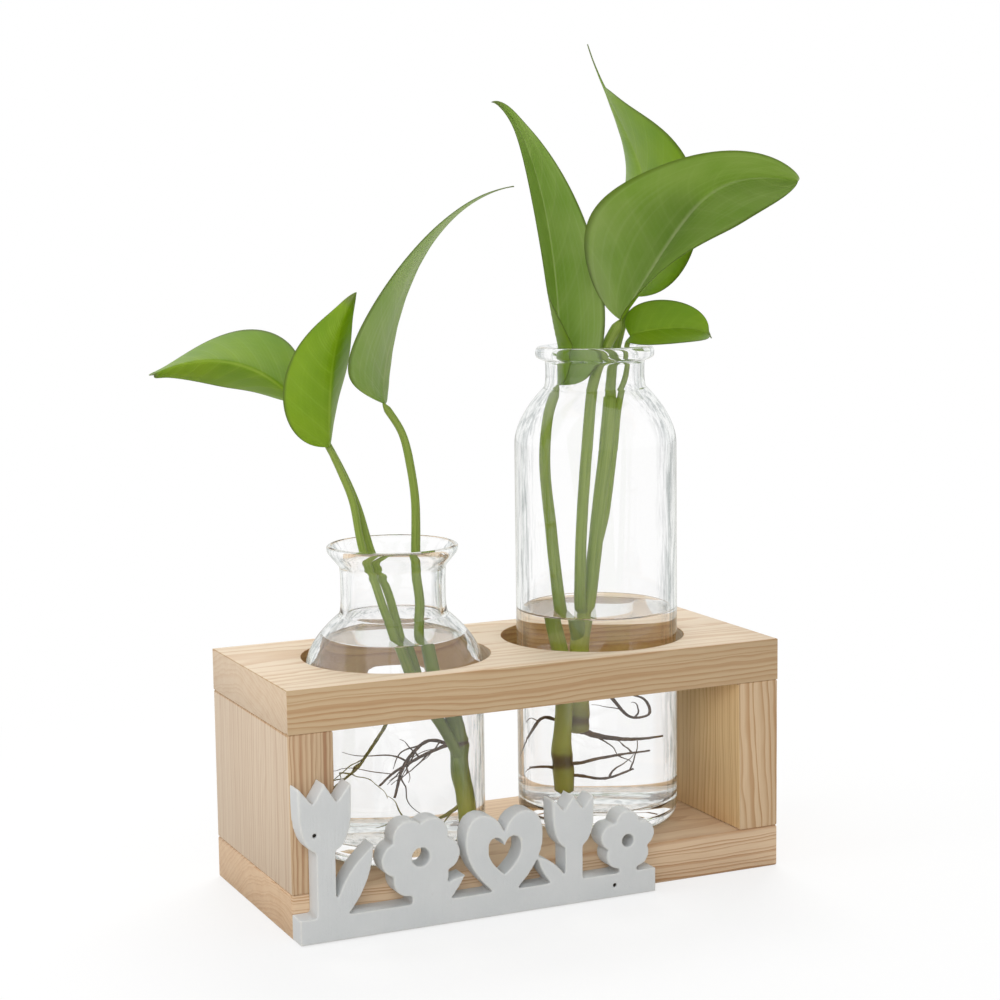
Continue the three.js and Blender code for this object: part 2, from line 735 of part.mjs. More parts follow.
const shortRootHanging = {
  on: shortPetioleLeft,
  path: [
    inShort.underWater(0.14, -0.13, 0.801),
    inShort.underWater(0.04, -0.01, 0.7),
    inShort.underWater(-0.1, 0.06, 0.52),
    inShort.underWater(-0.3, 0.14, 0.34),
    inShort.underWater(-0.52, 0.24, 0.22),
  ],
  from: ROOT_DIAMETER,
  to: ROOT_DIAMETER / 2,
  steps: 9,
  sides: ROOT_SIDES,
};

// Tall bottle: one stem leans on the left of the neck and carries the long leaf; a
// thicker one behind it carries the other three
const inTall = placesIn(tallBottle);

const tallStemLeft = {
  path: [
    inTall.underWater(-0.365, 0.055, 0.04),
    inTall.underWater(-0.375, 0.06, 0.19),
    inTall.underWater(-0.385, 0.065, 0.28),
    inTall.underWater(-0.36, 0.05, 0.5),
    inTall.underWater(-0.38, 0.06, 0.75),
    inTall.underWater(-0.48, 0.11, 1),
    inTall.overWater(-0.59, 0.16, 0.38),
    inTall.overWater(-0.65, 0.19, 0.66),
    inTall.overWater(-0.6, 0.18, 0.86),
    inTall.neck(-0.79, 0.31, -0.04),
  ],
  from: 5.8,
  to: 4,
  steps: 18,
  sides: STEM_SIDES,
  node: 0.08,
};
const tallStemRight = {
  path: [
    inTall.underWater(-0.13, 0.18, 0.35),
    inTall.underWater(-0.115, 0.165, 0.55),
    inTall.underWater(-0.1, 0.155, 0.85),
    inTall.overWater(0.01, 0.155, 0.12),
    inTall.overWater(0.12, 0.13, 0.45),
    inTall.overWater(0.22, 0.115, 0.71),
    inTall.overWater(0.29, 0.1, 0.94),
  ],
  from: 5.6,
  to: 5.8,
  steps: 13,
  sides: STEM_SIDES,
  node: 0.04,
};
const tallPetioleBack = {
  on: tallStemRight,
  path: [
    inTall.overWater(0.285, 0.1, 0.93),
    inTall.neck(0.51, 0.12, 0.35),
    inTall.neck(0.68, 0.2, 0.98),
    inTall.overMouth(14.6, 3.6, 9),
    inTall.overMouth(16.3, 3, 18.7),
  ],
  from: 4.4,
  to: 2.8,
  steps: 7,
};
const tallPetioleSide = {
  on: tallStemRight,
  path: [
    inTall.overWater(0.06, 0.15, 0.24),
    inTall.overWater(0.2, 0.12, 0.42),
    inTall.overWater(0.31, 0.09, 0.68),
    inTall.overWater(0.38, 0.04, 0.9),
    inTall.neck(0.8, -0.1, 0.45),
    inTall.neck(0.78, -0.1, 0.95),
    inTall.overMouth(14.6, -2, 3),
  ],
  from: 4.2,
  to: 2,
  steps: 13,
};
const tallPetioleMiddle = {
  on: tallStemRight,
  path: [
    inTall.underWater(-0.11, 0.16, 0.84),
    inTall.underWater(-0.2, 0.08, 1),
    inTall.overWater(-0.19, 0.05, 0.35),
    inTall.overWater(-0.1, 0.01, 0.78),
    inTall.neck(-0.08, -0.12, 0.1),
    inTall.neck(0.06, -0.28, 0.8),
    inTall.overMouth(5, -8.9, 7.2),
    inTall.overMouth(6, -10.2, 10),
  ],
  from: 4.7,
  to: 4.2,
  steps: 13,
};
const tallRootThick = {
  on: tallStemRight,
  path: [
    inTall.underWater(-0.13, 0.18, 0.37),
    inTall.underWater(0.1, 0.03, 0.33),
    inTall.underWater(0.35, -0.14, 0.32),
    inTall.underWater(0.61, -0.28, 0.33),
  ],
  from: 1.7 * ROOT_DIAMETER,
  to: ROOT_DIAMETER,
  steps: 6,
  sides: ROOT_SIDES,
};
const tallRootLoop = {
  on: tallStemRight,
  path: [
    inTall.underWater(-0.1, 0.16, 0.78),
    inTall.underWater(0.14, 0.08, 0.58),
    inTall.underWater(0.36, -0.06, 0.43),
    inTall.underWater(0.5, -0.14, 0.44),
    inTall.underWater(0.48, -0.06, 0.52),
    inTall.underWater(0.36, 0.04, 0.55),
  ],
  from: ROOT_DIAMETER,
  to: ROOT_DIAMETER / 2,
  steps: 10,
  sides: ROOT_SIDES,
};
const tallRootLeft = {
  on: tallStemLeft,
  path: [
    inTall.underWater(-0.37, 0.06, 0.17),
    inTall.underWater(-0.54, 0.12, 0.18),
    inTall.underWater(-0.73, 0.22, 0.17),
  ],
  from: ROOT_DIAMETER,
  to: ROOT_DIAMETER / 2,
  steps: 4,
  sides: ROOT_SIDES,
};
const tallRootRight = {
  on: tallStemLeft,
  path: [
    inTall.underWater(-0.37, 0.06, 0.14),
    inTall.underWater(-0.2, -0.06, 0.14),
    inTall.underWater(-0.02, -0.14, 0.13),
    inTall.underWater(0.28, -0.27, 0.17),
  ],
  from: ROOT_DIAMETER,
  to: ROOT_DIAMETER / 2,
  steps: 6,
  sides: ROOT_SIDES,
};
const tallRootRising = {
  on: tallStemLeft,
  path: [
    inTall.underWater(-0.37, 0.06, 0.2),
    inTall.underWater(-0.26, -0.06, 0.21),
    inTall.underWater(0.08, -0.14, 0.24),
    inTall.underWater(0.47, -0.24, 0.26),
  ],
  from: ROOT_DIAMETER,
  to: ROOT_DIAMETER / 2,
  steps: 7,
  sides: ROOT_SIDES,
};
const tallRootArc = {
  on: tallStemLeft,
  path: [
    inTall.underWater(-0.37, 0.06, 0.42),
    inTall.underWater(-0.48, 0.26, 0.43),
    inTall.underWater(-0.58, 0.41, 0.31),
  ],
  from: ROOT_DIAMETER,
  to: ROOT_DIAMETER / 2,
  steps: 5,
  sides: ROOT_SIDES,
};

const shortStems = { shortVine, shortPetioleLeft, shortPetioleMiddle, shortPetioleRight };
const shortRoots = { shortRootUpper, shortRootArc, shortRootLower, shortRootHanging };
const tallStems = {
  tallStemLeft, tallStemRight, tallPetioleBack, tallPetioleSide, tallPetioleMiddle,
};
const tallRoots = {
  tallRootThick, tallRootLoop, tallRootLeft, tallRootRight, tallRootRising, tallRootArc,
};

const snakeCase = (name) => name.replace(/[A-Z]/g, (letter) => `_${letter.toLowerCase()}`);
for (const [group, material] of [
  [{ ...shortStems, ...tallStems }, STEM],
  [{ ...shortRoots, ...tallRoots }, ROOT],
]) {
  for (const [name, stem] of Object.entries(group)) {
    addPiece(snakeCase(name), seated(stem), material);
  }
}

const waterAround = (b, stems) => Object.values(stems).reduce(clearOf, b.filling);
addPiece('short_water', waterAround(shortBottle, { ...shortStems, ...shortRoots }), WATER);
addPiece('tall_water', waterAround(tallBottle, { ...tallStems, ...tallRoots }), WATER);

const leaves = [
  {
    on: shortPetioleLeft,
    midrib: [
      inShort.overMouth(-54.7, 18.4, 80.7),
      inShort.overMouth(-79.7, 32.7, 64.7),
      inShort.overMouth(-81.5, 28.3, 65),
    ],
    across: [-0.11, 0.49, -0.87],
    twist: -47,
    left: { width: 25.9, fold: 80 },
    right: { width: 13.4, fold: 23 },
    curl: 0.32,
    basePower: 0.45,
    tipPower: 1.32,
    dripTip: 0.08,
  },
  {
    on: shortPetioleMiddle,
    midrib: [
      inShort.overMouth(-22, 4, 65),
      inShort.overMouth(-19.6, 6.1, 79.5),
      inShort.overMouth(-9.6, 6.8, 93.8),
    ],
    across: [0.94, 0.31, -0.17],
    twist: 41,
    left: { width: 16.8, fold: 0 },
    right: { width: 15.6, fold: -38 },
    curl: -0.32,
    basePower: 0.44,
    tipPower: 1.18,
    dripTip: 0.06,
  },
  {
    on: shortPetioleRight,
    midrib: [
      inShort.overMouth(-1.4, 10.8, 62.1),
      inShort.overMouth(10.3, 3.7, 126.9),
      inShort.overMouth(47, -10.8, 131.9),
    ],
    across: [0.2, 0.98, 0.01],
    twist: -32,
    left: { width: 27.4, fold: -29 },
    right: { width: 14.9, fold: 44 },
    curl: -0.31,
    basePower: 0.66,
    tipPower: 1.41,
    dripTip: 0.06,
  },
  {
    on: tallStemLeft,
    midrib: [
      inTall.overMouth(-10.1, 7.1, 43),
      inTall.overMouth(-20.8, 14.7, 91.1),
      inTall.overMouth(-33, 20.8, 93.3),
    ],
    across: [0.97, 0.2, 0.12],
    twist: 21,
    left: { width: 25, fold: 48 },
    right: { width: 19.6, fold: 60 },
    curl: 0.07,
    basePower: 0.37,
    tipPower: 1.38,
    dripTip: 0.12,
    hold: rolledIn(tallBottle),
  },
  {
    on: tallPetioleBack,
    midrib: [
      inTall.overMouth(39, 5, 68.7),
      inTall.overMouth(20.5, 17.4, 76.5),
      inTall.overMouth(15.8, 35.3, 117),
    ],
    across: [0.51, -0.73, -0.45],
    twist: 43,
    left: { width: 30, fold: -24 },
    right: { width: 43.9, fold: 40 },
    curl: -0.19,
    basePower: 0.36,
    tipPower: 0.66,
    dripTip: 0.17,
  },
  {
    on: tallPetioleMiddle,
    midrib: [
      inTall.overMouth(28.2, -29, 53.7),
      inTall.overMouth(23.8, -41.9, 68.1),
      inTall.overMouth(61.2, -48.3, 61.6),
    ],
    across: [-0.1, -0.86, -0.5],
    twist: -63,
    left: { width: 34, fold: 80 },
    right: { width: 24, fold: 26 },
    curl: 0.32,
    basePower: 0.58,
    tipPower: 0.72,
    dripTip: 0,
  },
  {
    on: tallPetioleSide,
    midrib: [
      inTall.overMouth(15, -4.6, 5.6),
      inTall.overMouth(40.4, -12.2, 8.9),
      inTall.overMouth(46.1, -10, 1.5),
    ],
    across: [-0.21, -0.45, -0.87],
    twist: -3,
    left: { width: 11, fold: 14 },
    right: { width: 14.4, fold: 38 },
    curl: 0.11,
    basePower: 0.47,
    tipPower: 0.63,
    dripTip: 0.08,
  },
];
leaves.forEach((leaf, i) => addPiece(`leaf_${i + 1}`, blade(leaf), LEAF));

export default part;
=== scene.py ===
import random
from math import ceil, cos, exp, hypot, pi, radians, sin, sqrt

import bmesh
import bpy
from mathutils import Matrix, Quaternion, Vector, noise


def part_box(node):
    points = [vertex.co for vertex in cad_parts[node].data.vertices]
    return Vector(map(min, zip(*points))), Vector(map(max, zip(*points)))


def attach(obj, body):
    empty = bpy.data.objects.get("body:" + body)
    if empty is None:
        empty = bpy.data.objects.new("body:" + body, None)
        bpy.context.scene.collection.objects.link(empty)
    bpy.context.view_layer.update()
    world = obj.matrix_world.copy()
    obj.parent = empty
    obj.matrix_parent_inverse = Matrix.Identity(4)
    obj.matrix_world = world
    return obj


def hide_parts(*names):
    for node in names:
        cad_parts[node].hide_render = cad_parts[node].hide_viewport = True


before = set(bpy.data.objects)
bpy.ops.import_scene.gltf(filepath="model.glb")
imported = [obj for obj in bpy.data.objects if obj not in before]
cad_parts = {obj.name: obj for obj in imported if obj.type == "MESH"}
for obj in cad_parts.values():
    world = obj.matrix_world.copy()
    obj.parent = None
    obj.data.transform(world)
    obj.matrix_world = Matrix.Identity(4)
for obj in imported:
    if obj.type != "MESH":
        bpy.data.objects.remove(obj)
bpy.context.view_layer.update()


# Studio: a white sweep under soft light from above, with the camera at the
# stand's left front corner.

MM = 0.001


def srgb(red, green, blue):
    """An 8-bit screen colour as the linear colour that a socket takes."""
    def linear(value):
        value /= 255
        return value / 12.92 if value <= 0.04045 else ((value + 0.055) / 1.055) ** 2.4
    return (linear(red), linear(green), linear(blue), 1.0)


def wired(made, **inputs):
    """Sets or links a node's inputs, by their names, or by their numbers as i0, i1."""
    for key, value in inputs.items():
        numbered = key[0] == "i" and key[1:].isdigit()
        socket = made.inputs[int(key[1:])] if numbered else made.inputs[key.replace("_", " ")]
        if isinstance(value, bpy.types.Node):
            value = value.outputs[0]
        if isinstance(value, bpy.types.NodeSocket):
            made.id_data.links.new(value, socket)
        else:
            socket.default_value = value
    return made


def node(tree, kind, settings=None, **inputs):
    made = tree.nodes.new("ShaderNode" + kind)
    for key, value in (settings or {}).items():
        setattr(made, key, value)
    return wired(made, **inputs)


def maths(tree, operation, first, second=0.0, third=0.0):
    return node(tree, "Math", {"operation": operation}, i0=first, i1=second, i2=third)


def times(tree, first, second, added=0.0):
    """Two values multiplied, and a third one added."""
    return maths(tree, "MULTIPLY_ADD", first, second, added)


def new_material(name):
    material = bpy.data.materials.new(name)
    material.use_nodes = True
    material.node_tree.nodes.clear()
    return material, material.node_tree


def to_output(tree, shader):
    node(tree, "OutputMaterial", Surface=shader)


def mix(tree, factor, first, second, mode="MIX"):
    return node(tree, "Mix", {"data_type": "RGBA", "blend_type": mode},
                i0=factor, i6=first, i7=second).outputs[2]


def own_place(tree):
    return node(tree, "TexCoord").outputs["Object"]


def seen_directly(tree):
    """One for what the camera sees, straight or through clear glass, else zero."""
    rays = node(tree, "LightPath").outputs
    return maths(tree, "MAXIMUM", rays["Is Camera Ray"], rays["Is Transmission Ray"])


def new_piece(name, data):
    piece = bpy.data.objects.new(name, data)
    bpy.context.scene.collection.objects.link(piece)
    return piece


camera_data = bpy.data.cameras.new("camera")
camera_data.sensor_width = 36
camera_data.lens = 79.63
camera_data.clip_end = 20
camera = new_piece("camera", camera_data)
CAMERA_PLACE = Vector((-0.34634, -0.76128, 0.25588))
CAMERA_YAW = -24.618
CAMERA_PITCH = -7.509
CAMERA_ROLL = -0.724
camera.matrix_world = (
    Matrix.Translation(CAMERA_PLACE)
    @ Matrix.Rotation(radians(CAMERA_YAW), 4, "Z")
    @ Matrix.Rotation(radians(90 + CAMERA_PITCH), 4, "X")
    @ Matrix.Rotation(radians(CAMERA_ROLL), 4, "Z")
)
bpy.context.scene.camera = camera
bpy.context.scene.view_settings.view_transform = "Standard"

SKY_LIGHT = 0.58
world = bpy.data.worlds.new("studio")
world.use_nodes = True
bpy.context.scene.world = world
tree = world.node_tree
tree.nodes.clear()
mirrored = node(tree, "LightPath").outputs["Is Glossy Ray"]
seen = maths(tree, "MAXIMUM", seen_directly(tree), mirrored)
strength = times(tree, seen, 1 - SKY_LIGHT, SKY_LIGHT)
background = node(tree, "Background", Color=(1, 1, 1, 1), Strength=strength)
node(tree, "OutputWorld", Surface=background)


def soft_light(name, place, aim, size, power):
    lamp = bpy.data.lights.new(name, "AREA")
    lamp.shape = "RECTANGLE"
    lamp.size, lamp.size_y = size
    lamp.energy = power
    holder = new_piece(name, lamp)
    holder.location = place
    holder.rotation_euler = (Vector(aim) - Vector(place)).to_track_quat("-Z", "Y").to_euler()
    holder.visible_glossy = False
    holder.visible_transmission = False


soft_light("key_light", (-1.1, 0.05, 1.2), (0, 0, 0.1), (0.5, 1.1), 4.5)
soft_light("back_light", (0.6, 1.0, 1.3), (0, 0, 0.15), (1.0, 0.5), 14)
soft_light("fill_light", (-0.75, -1.15, 0.7), (0, 0, 0.12), (0.9, 0.7), 5.5)

# The sweep is white; close to the object it shows a faint soft shadow
FLOOR_REACH = 4
floor_mesh = bpy.data.meshes.new("floor")
floor_mesh.from_pydata([(FLOOR_REACH * x, FLOOR_REACH * y, 0) for x, y in (
    (-1, -1), (1, -1), (1, 1), (-1, 1))], [], [(0, 1, 2, 3)])
material, tree = new_material("white_sweep")
direct = seen_directly(tree)
paper = node(tree, "BsdfPrincipled", Roughness=0.9,
             Base_Color=mix(tree, direct, srgb(222, 219, 214), srgb(246, 246, 246)))
white = node(tree, "Emission", Color=(1, 1, 1, 1), Strength=1.0)
distance = node(tree, "VectorMath", {"operation": "LENGTH"}, i0=own_place(tree)).outputs["Value"]
away = node(tree, "MapRange", Value=distance, From_Min=0.1, From_Max=0.35, To_Min=0.72, To_Max=1.0)
to_output(tree, node(tree, "MixShader", i0=times(tree, direct, away), i1=paper, i2=white))
floor_mesh.materials.append(material)
new_piece("floor", floor_mesh)


# Boards. Four pieces of planed, unfinished pine, butt-jointed: the end boards stand
# between the flat ones. Edges are eased with sandpaper, and the two holes in the
# top board are bored and sanded. Grain runs along the stand, upright in the ends.

EASED_EDGE = 0.8 * MM
HOLE_RADIUS = 35.75 * MM
HOLE_PLACES = (-41.5 * MM, 41.5 * MM)
HOLE_FACETS = 144


def applied(piece):
    """Bakes a piece's modifiers into its mesh."""
    bpy.context.view_layer.update()
    evaluated = piece.evaluated_get(bpy.context.evaluated_depsgraph_get())
    mesh = bpy.data.meshes.new_from_object(evaluated)
    piece.modifiers.clear()
    old = piece.data
    piece.data = mesh
    bpy.data.meshes.remove(old)


def cut(piece, cutter):
    boolean = piece.modifiers.new("cut", "BOOLEAN")
    boolean.operation = "DIFFERENCE"
    boolean.solver = "EXACT"
    boolean.use_self = True
    boolean.object = cutter
    applied(piece)
    bpy.data.objects.remove(cutter)


def mesh_of(bm, name):
    mesh = bpy.data.meshes.new(name)
    bm.to_mesh(mesh)
    bm.free()
    return mesh


def prism(name, outline, placed, way):
    """A closed solid from an outline, with its points placed and then drawn out one way."""
    bm = bmesh.new()
    face = bm.faces.new([bm.verts.new(placed(x, y)) for x, y in outline])
    drawn = bmesh.ops.extrude_face_region(bm, geom=[face])["geom"]
    moved = [v for v in drawn if isinstance(v, bmesh.types.BMVert)]
    bmesh.ops.translate(bm, verts=moved, vec=way)
    bmesh.ops.recalc_face_normals(bm, faces=bm.faces)
    return new_piece(name, mesh_of(bm, name))


def turn_steps(count):
    return [2 * pi * i / count for i in range(count)]


def circle(x, y, radius, steps):
    return [(x + radius * cos(turn), y + radius * sin(turn)) for turn in turn_steps(steps)]


def rectangle(x0, y0, x1, y1):
    return [(x0, y0), (x1, y0), (x1, y1), (x0, y1)]


def level(z):
    """Places the points of an outline flat at a height."""
    return lambda x, y: Vector((x, y, z))


def board(name):
    low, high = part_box(name)
    return prism(name + "_pine", rectangle(low.x, low.y, high.x, high.y), level(low.z),
                 Vector((0, 0, high.z - low.z)))


def eased(piece, radius):
    bevel = piece.modifiers.new("eased", "BEVEL")
    bevel.width = radius
    bevel.segments = 3
    bevel.limit_method = "ANGLE"
    bevel.angle_limit = radians(30)
    bevel.harden_normals = True
    applied(piece)
    piece.data.shade_smooth()


def finished(piece, material, body, slot, cad_node):
    """Gives a piece its material and body, and puts it in place of a CAD node. Its slot is not
    used.
    """
    for each in material if isinstance(material, list) else [material]:
        piece.data.materials.append(each)
    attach(piece, body)
    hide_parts(cad_node)


def new_group(name, inputs, outputs):
    """A node group, the values that enter it and the node that they leave it by."""
    group = bpy.data.node_groups.new(name, "ShaderNodeTree")
    for label, kind, value in inputs:
        socket = group.interface.new_socket(label, in_out="INPUT", socket_type="NodeSocket" + kind)
        if value is not None:
            socket.default_value = value
    for label, kind in outputs:
        group.interface.new_socket(label, in_out="OUTPUT", socket_type="NodeSocket" + kind)
    return group, group.nodes.new("NodeGroupInput").outputs, group.nodes.new("NodeGroupOutput")


def noise_at(tree, place, stretch, detail=2.0, roughness=0.5):
    """Noise in a space stretched by a factor along each axis, per metre."""
    scaled = node(tree, "VectorMath", {"operation": "MULTIPLY"}, i0=place, i1=stretch)
    return node(tree, "TexNoise", Vector=scaled, Scale=1.0, Detail=detail, Roughness=roughness)


def grey(value):
    return (value, value, value, 1)


def ramp(tree, factor, stops):
    made = node(tree, "ValToRGB", Fac=factor)
    elements = made.color_ramp.elements
    while len(elements) < len(stops):
        elements.new(0.5)
    for element, (position, shade) in zip(elements, stops):
        element.position = position
        element.color = grey(shade) if isinstance(shade, (int, float)) else shade
    return made.outputs["Color"]


# Growth rings round a pith that runs along the first axis. Where a face cuts them
# they show as flames, as lines or, on end grain, as arcs. Each ring darkens slowly
# and ends sharply; fibres and streaks run with the grain.
rings, given, leaving = new_group("growth_rings", [
    ("Place", "Vector", None), ("Pith", "Vector", (0, 0, 0)), ("Ring Width", "Float", 0.002),
    ("Pale", "Color", grey(0.6)), ("Dark", "Color", grey(0.3)), ("Contrast", "Float", 0.7),
    ("End Grain", "Float", 0.0)],
    [("Color", "Color"), ("Height", "Float"), ("Roughness", "Float")])
place = given["Place"]
offset = node(rings, "VectorMath", {"operation": "SUBTRACT"}, i0=place, i1=given["Pith"])
waver = noise_at(rings, offset, (7, 24, 24), 2, 0.45).outputs["Color"]
ripple = noise_at(rings, offset, (60, 260, 260), 1).outputs["Color"]
wander = node(rings, "VectorMath", {"operation": "MULTIPLY_ADD"}, i0=waver,
              i1=(0, 0.011, 0.011), i2=offset)
wander = node(rings, "VectorMath", {"operation": "MULTIPLY_ADD"}, i0=ripple,
              i1=(0, 0.0012, 0.0012), i2=wander)
parts = node(rings, "SeparateXYZ", Vector=wander)
squares = [maths(rings, "POWER", parts.outputs[axis], 2.0) for axis in "YZ"]
radius = maths(rings, "SQRT", maths(rings, "ADD", *squares))
turns = maths(rings, "DIVIDE", radius, given["Ring Width"])
uneven = node(rings, "TexNoise", {"noise_dimensions": "1D"}, W=turns, Scale=0.6)
turns = times(rings, uneven, 1.7, turns)
late = ramp(rings, maths(rings, "FRACT", turns), [
    (0.0, 0.05), (0.4, 0.12), (0.78, 0.85), (0.9, 1.0), (1.0, 0.05)])
year = node(rings, "TexNoise", {"noise_dimensions": "1D"}, W=maths(rings, "FLOOR", turns),
            Scale=3.7)
late = times(rings, late, times(rings, year, 1.2, 0.2))
fibres = noise_at(rings, place, (60, 1700, 1700), 3, 0.6)
streaks = noise_at(rings, place, (9, 190, 190), 4, 0.6)
share = times(rings, late, given["Contrast"])
share = times(rings, maths(rings, "SUBTRACT", streaks, 0.5), 0.45, share)
share = times(rings, maths(rings, "SUBTRACT", fibres, 0.5), 0.4, share)
share = times(rings, given["End Grain"], 0.25, share)
share = node(rings, "Clamp", Value=share)
wired(leaving, Color=mix(rings, share, given["Pale"], given["Dark"]),
      Height=times(rings, fibres, 0.6, times(rings, late, 0.5)),
      Roughness=times(rings, share, -0.12, 0.66))


def pine(name, turned, shift, pith, ring_width, contrast, pale, dark, front):
    """Pine with its grain along X, or turned upright, from its own place in the log. Faces
    turned to the front and back show the grain more strongly, and the front colour darkens them as
    a painted shade."""
    material, tree = new_material(name)
    place = node(tree, "Mapping", Vector=own_place(tree), Location=shift,
                 Rotation=(0, radians(90) if turned else 0, 0))
    facing = node(tree, "SeparateXYZ", Vector=node(tree, "NewGeometry").outputs["Normal"])
    along, broad = (maths(tree, "ABSOLUTE", facing.outputs[axis])
                    for axis in ("ZX" if turned else "XZ"))
    end_grain = maths(tree, "GREATER_THAN", along, 0.7)
    front_or_back_face = maths(tree, "GREATER_THAN", 0.9, maths(tree, "MAXIMUM", along, broad))
    strength = times(tree, front_or_back_face, 0.4, contrast)
    strength = times(tree, end_grain, -0.5 * contrast, strength)
    grain = node(tree, "Group", {"node_tree": rings}, Place=place, Pith=pith, Pale=pale, Dark=dark,
                 Ring_Width=ring_width, Contrast=strength, End_Grain=end_grain).outputs
    # Painted shade: the front colour darkens the faces turned to the front and back
    colour = mix(tree, front_or_back_face, grain["Color"], front, "MULTIPLY")
    bump = node(tree, "Bump", Strength=0.35, Distance=0.0004, Height=grain["Height"])
    to_output(tree, node(tree, "BsdfPrincipled", Base_Color=colour, Normal=bump,
                         Roughness=grain["Roughness"]))
    return material


# Each board with its pine; the last colour is the painted shade of its front and back faces
BOARDS = (
    ("top_board", pine("top_pine", False, (0, 0, 0), (0, 0.02, 0), 1.9 * MM, 0.5,
                       srgb(232, 214, 190), srgb(198, 158, 118), (0.76, 0.67, 0.53, 1))),
    ("bottom_board", pine("bottom_pine", False, (0.3, 0, 0), (0, -0.02, -0.06), 1.8 * MM, 0.55,
                          srgb(230, 204, 172), srgb(186, 140, 98), (1, 0.98, 0.96, 1))),
    ("left_end_board", pine("left_pine", True, (0, 0, 0), (0, -0.1, 0), 1.5 * MM, 0.3,
                            srgb(222, 203, 180), srgb(158, 104, 62), (0.9, 0.8, 0.66, 1))),
    ("right_end_board", pine("right_pine", True, (0.1, 0, 0), (0, 0.03, -0.03), 1.7 * MM, 0.55,
                             srgb(236, 204, 154), srgb(190, 140, 82), (0.82, 0.84, 1, 1))),
)
# The walls of the two holes: the top board's pine, with a deep brown painted shade on their faces
# turned front and back, for the shade inside the holes
bore_pine = pine("bore_pine", False, (0, 0, 0), (0, 0.02, 0), 1.9 * MM, 0.7,
                 srgb(232, 214, 190), srgb(198, 158, 118), (0.74, 0.52, 0.26, 1))
for name, material in BOARDS:
    piece = board(name)
    if name == "top_board":
        low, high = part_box(name)
        for x in HOLE_PLACES:
            cut(piece, prism("bore", circle(x, 0, HOLE_RADIUS, HOLE_FACETS),
                             level(low.z - 0.01), Vector((0, 0, high.z - low.z + 0.02))))
    eased(piece, EASED_EDGE)
    for polygon in piece.data.polygons:
        away = min(hypot(polygon.center.x - x, polygon.center.y) for x in HOLE_PLACES)
        polygon.material_index = int(away < HOLE_RADIUS + 0.1 * MM)
    finished(piece, [material, bore_pine], "stand",
             "pine_edge" if "end" in name else "pine_face", name)


# Dowels and nails. Beech dowels sit unseen in the board joints. Two thin nails of
# dark steel hold the cut-out, with heads punched just under the paint.

def coloured(names, material):
    for name in names:
        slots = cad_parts[name].data.materials
        slots.clear()
        slots.append(material)


material, tree = new_material("beech")
flecks = noise_at(tree, own_place(tree), (900, 900, 90), 2)
beech = mix(tree, flecks, srgb(190, 148, 104), srgb(226, 190, 148))
to_output(tree, node(tree, "BsdfPrincipled", Roughness=0.6, Base_Color=beech))
coloured([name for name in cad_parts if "dowel" in name], material)

material, tree = new_material("dark_steel")
spots = noise_at(tree, own_place(tree), (1500, 1500, 1500), 3)
steel = mix(tree, spots, srgb(28, 26, 25), srgb(84, 78, 74))
to_output(tree, node(tree, "BsdfPrincipled", Metallic=0.9, Base_Color=steel,
                     Roughness=times(tree, spots, 0.4, 0.3)))
coloured(("upper_nail", "lower_nail"), material)


# Cut-out. A row of plain garden flowers on a bar, sawn from one 9 mm board, with
# corners softened by sanding and two coats of matt off-white paint. Its sharp edges are
# paler, partly worn and partly a painted highlight, and its hollows darker with painted shade.

CUTOUT_THICKNESS = 9 * MM
CUTOUT_LENGTH = 141
BAR_HEIGHT = 9
FLOWER_STEM = 7
STEM_FOOT = 2
CUTOUT_GRAIN = 0.5 * MM
STAND_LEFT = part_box("top_board")[0].x
STAND_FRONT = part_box("top_board")[0].y
CUTOUT_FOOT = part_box("front_ornament")[0].z


def cubic(a, b, c, d, t):
    return a * (1 - t) ** 3 + b * 3 * t * (1 - t) ** 2 + c * 3 * t * t * (1 - t) + d * t ** 3


def curve_through(points, steps=14):
    """Cubic pieces that share their ends: a start, then three points for each piece."""
    made = []
    for first in range(0, len(points) - 1, 3):
        held = [Vector(p) for p in points[first:first + 4]]
        made += [tuple(cubic(*held, i / steps)) for i in range(steps)]
    return made


def almond(x0, y0, x1, y1, width):
    along = Vector((x1 - x0, y1 - y0))
    side = Vector((-along.y, along.x)).normalized() * width * 2 / 3
    a, d = Vector((x0, y0)), Vector((x1, y1))
    b, c = a + along / 3, a + along * 2 / 3
    return curve_through([a, b - side, c - side, d, c + side, b + side, a])


def mirror(points, x):
    return [(2 * x - px, py) for px, py in reversed(points)]


def flower_stem(x, top):
    return rectangle(x - FLOWER_STEM / 2, STEM_FOOT, x + FLOWER_STEM / 2, top)


def heart(x, foot, width, height):
    half = width / 2
    right = [(x, foot), (x + 0.5 * half, foot + 0.2 * height), (x + half, foot + 0.4 * height),
             (x + half, foot + 0.72 * height), (x + half, foot + 1.1 * height),
             (x + 0.15 * half, foot + 1.08 * height), (x, foot + 0.76 * height)]
    return curve_through(right + mirror(right[:-1], x))


def tulip(x, foot, width, height):
    half = width / 2
    right = [(x, foot), (x + half, foot), (x + half, foot + 0.45 * height),
             (x + half, foot + height)]
    side = curve_through(right) + [right[-1]]
    petals = [(x + 0.45 * half, foot + 0.72 * height), (x, foot + height),
              (x - 0.45 * half, foot + 0.72 * height)]
    return [flower_stem(x, foot + 4), side + petals + mirror(side[1:], x)]


def daisy(x, y, petals, ring, petal):
    turns = [2 * pi * (i + 0.5) / petals - pi / 2 for i in range(petals)]
    heads = [circle(x + ring * cos(turn), y + ring * sin(turn), petal, 32) for turn in turns]
    return [circle(x, y, ring, 32), flower_stem(x, y), *heads]


def on_front(depth):
    """Places the points of an outline upright, so far behind the stand's front face."""
    return lambda x, y: Vector((STAND_LEFT + x * MM, STAND_FRONT + depth, CUTOUT_FOOT + y * MM))


def sawn(name, outline, behind=0.0):
    """An outline sawn from the board, or a longer tool that starts behind it."""
    return prism(name, outline, on_front(behind), Vector((0, -CUTOUT_THICKNESS - 2 * behind, 0)))


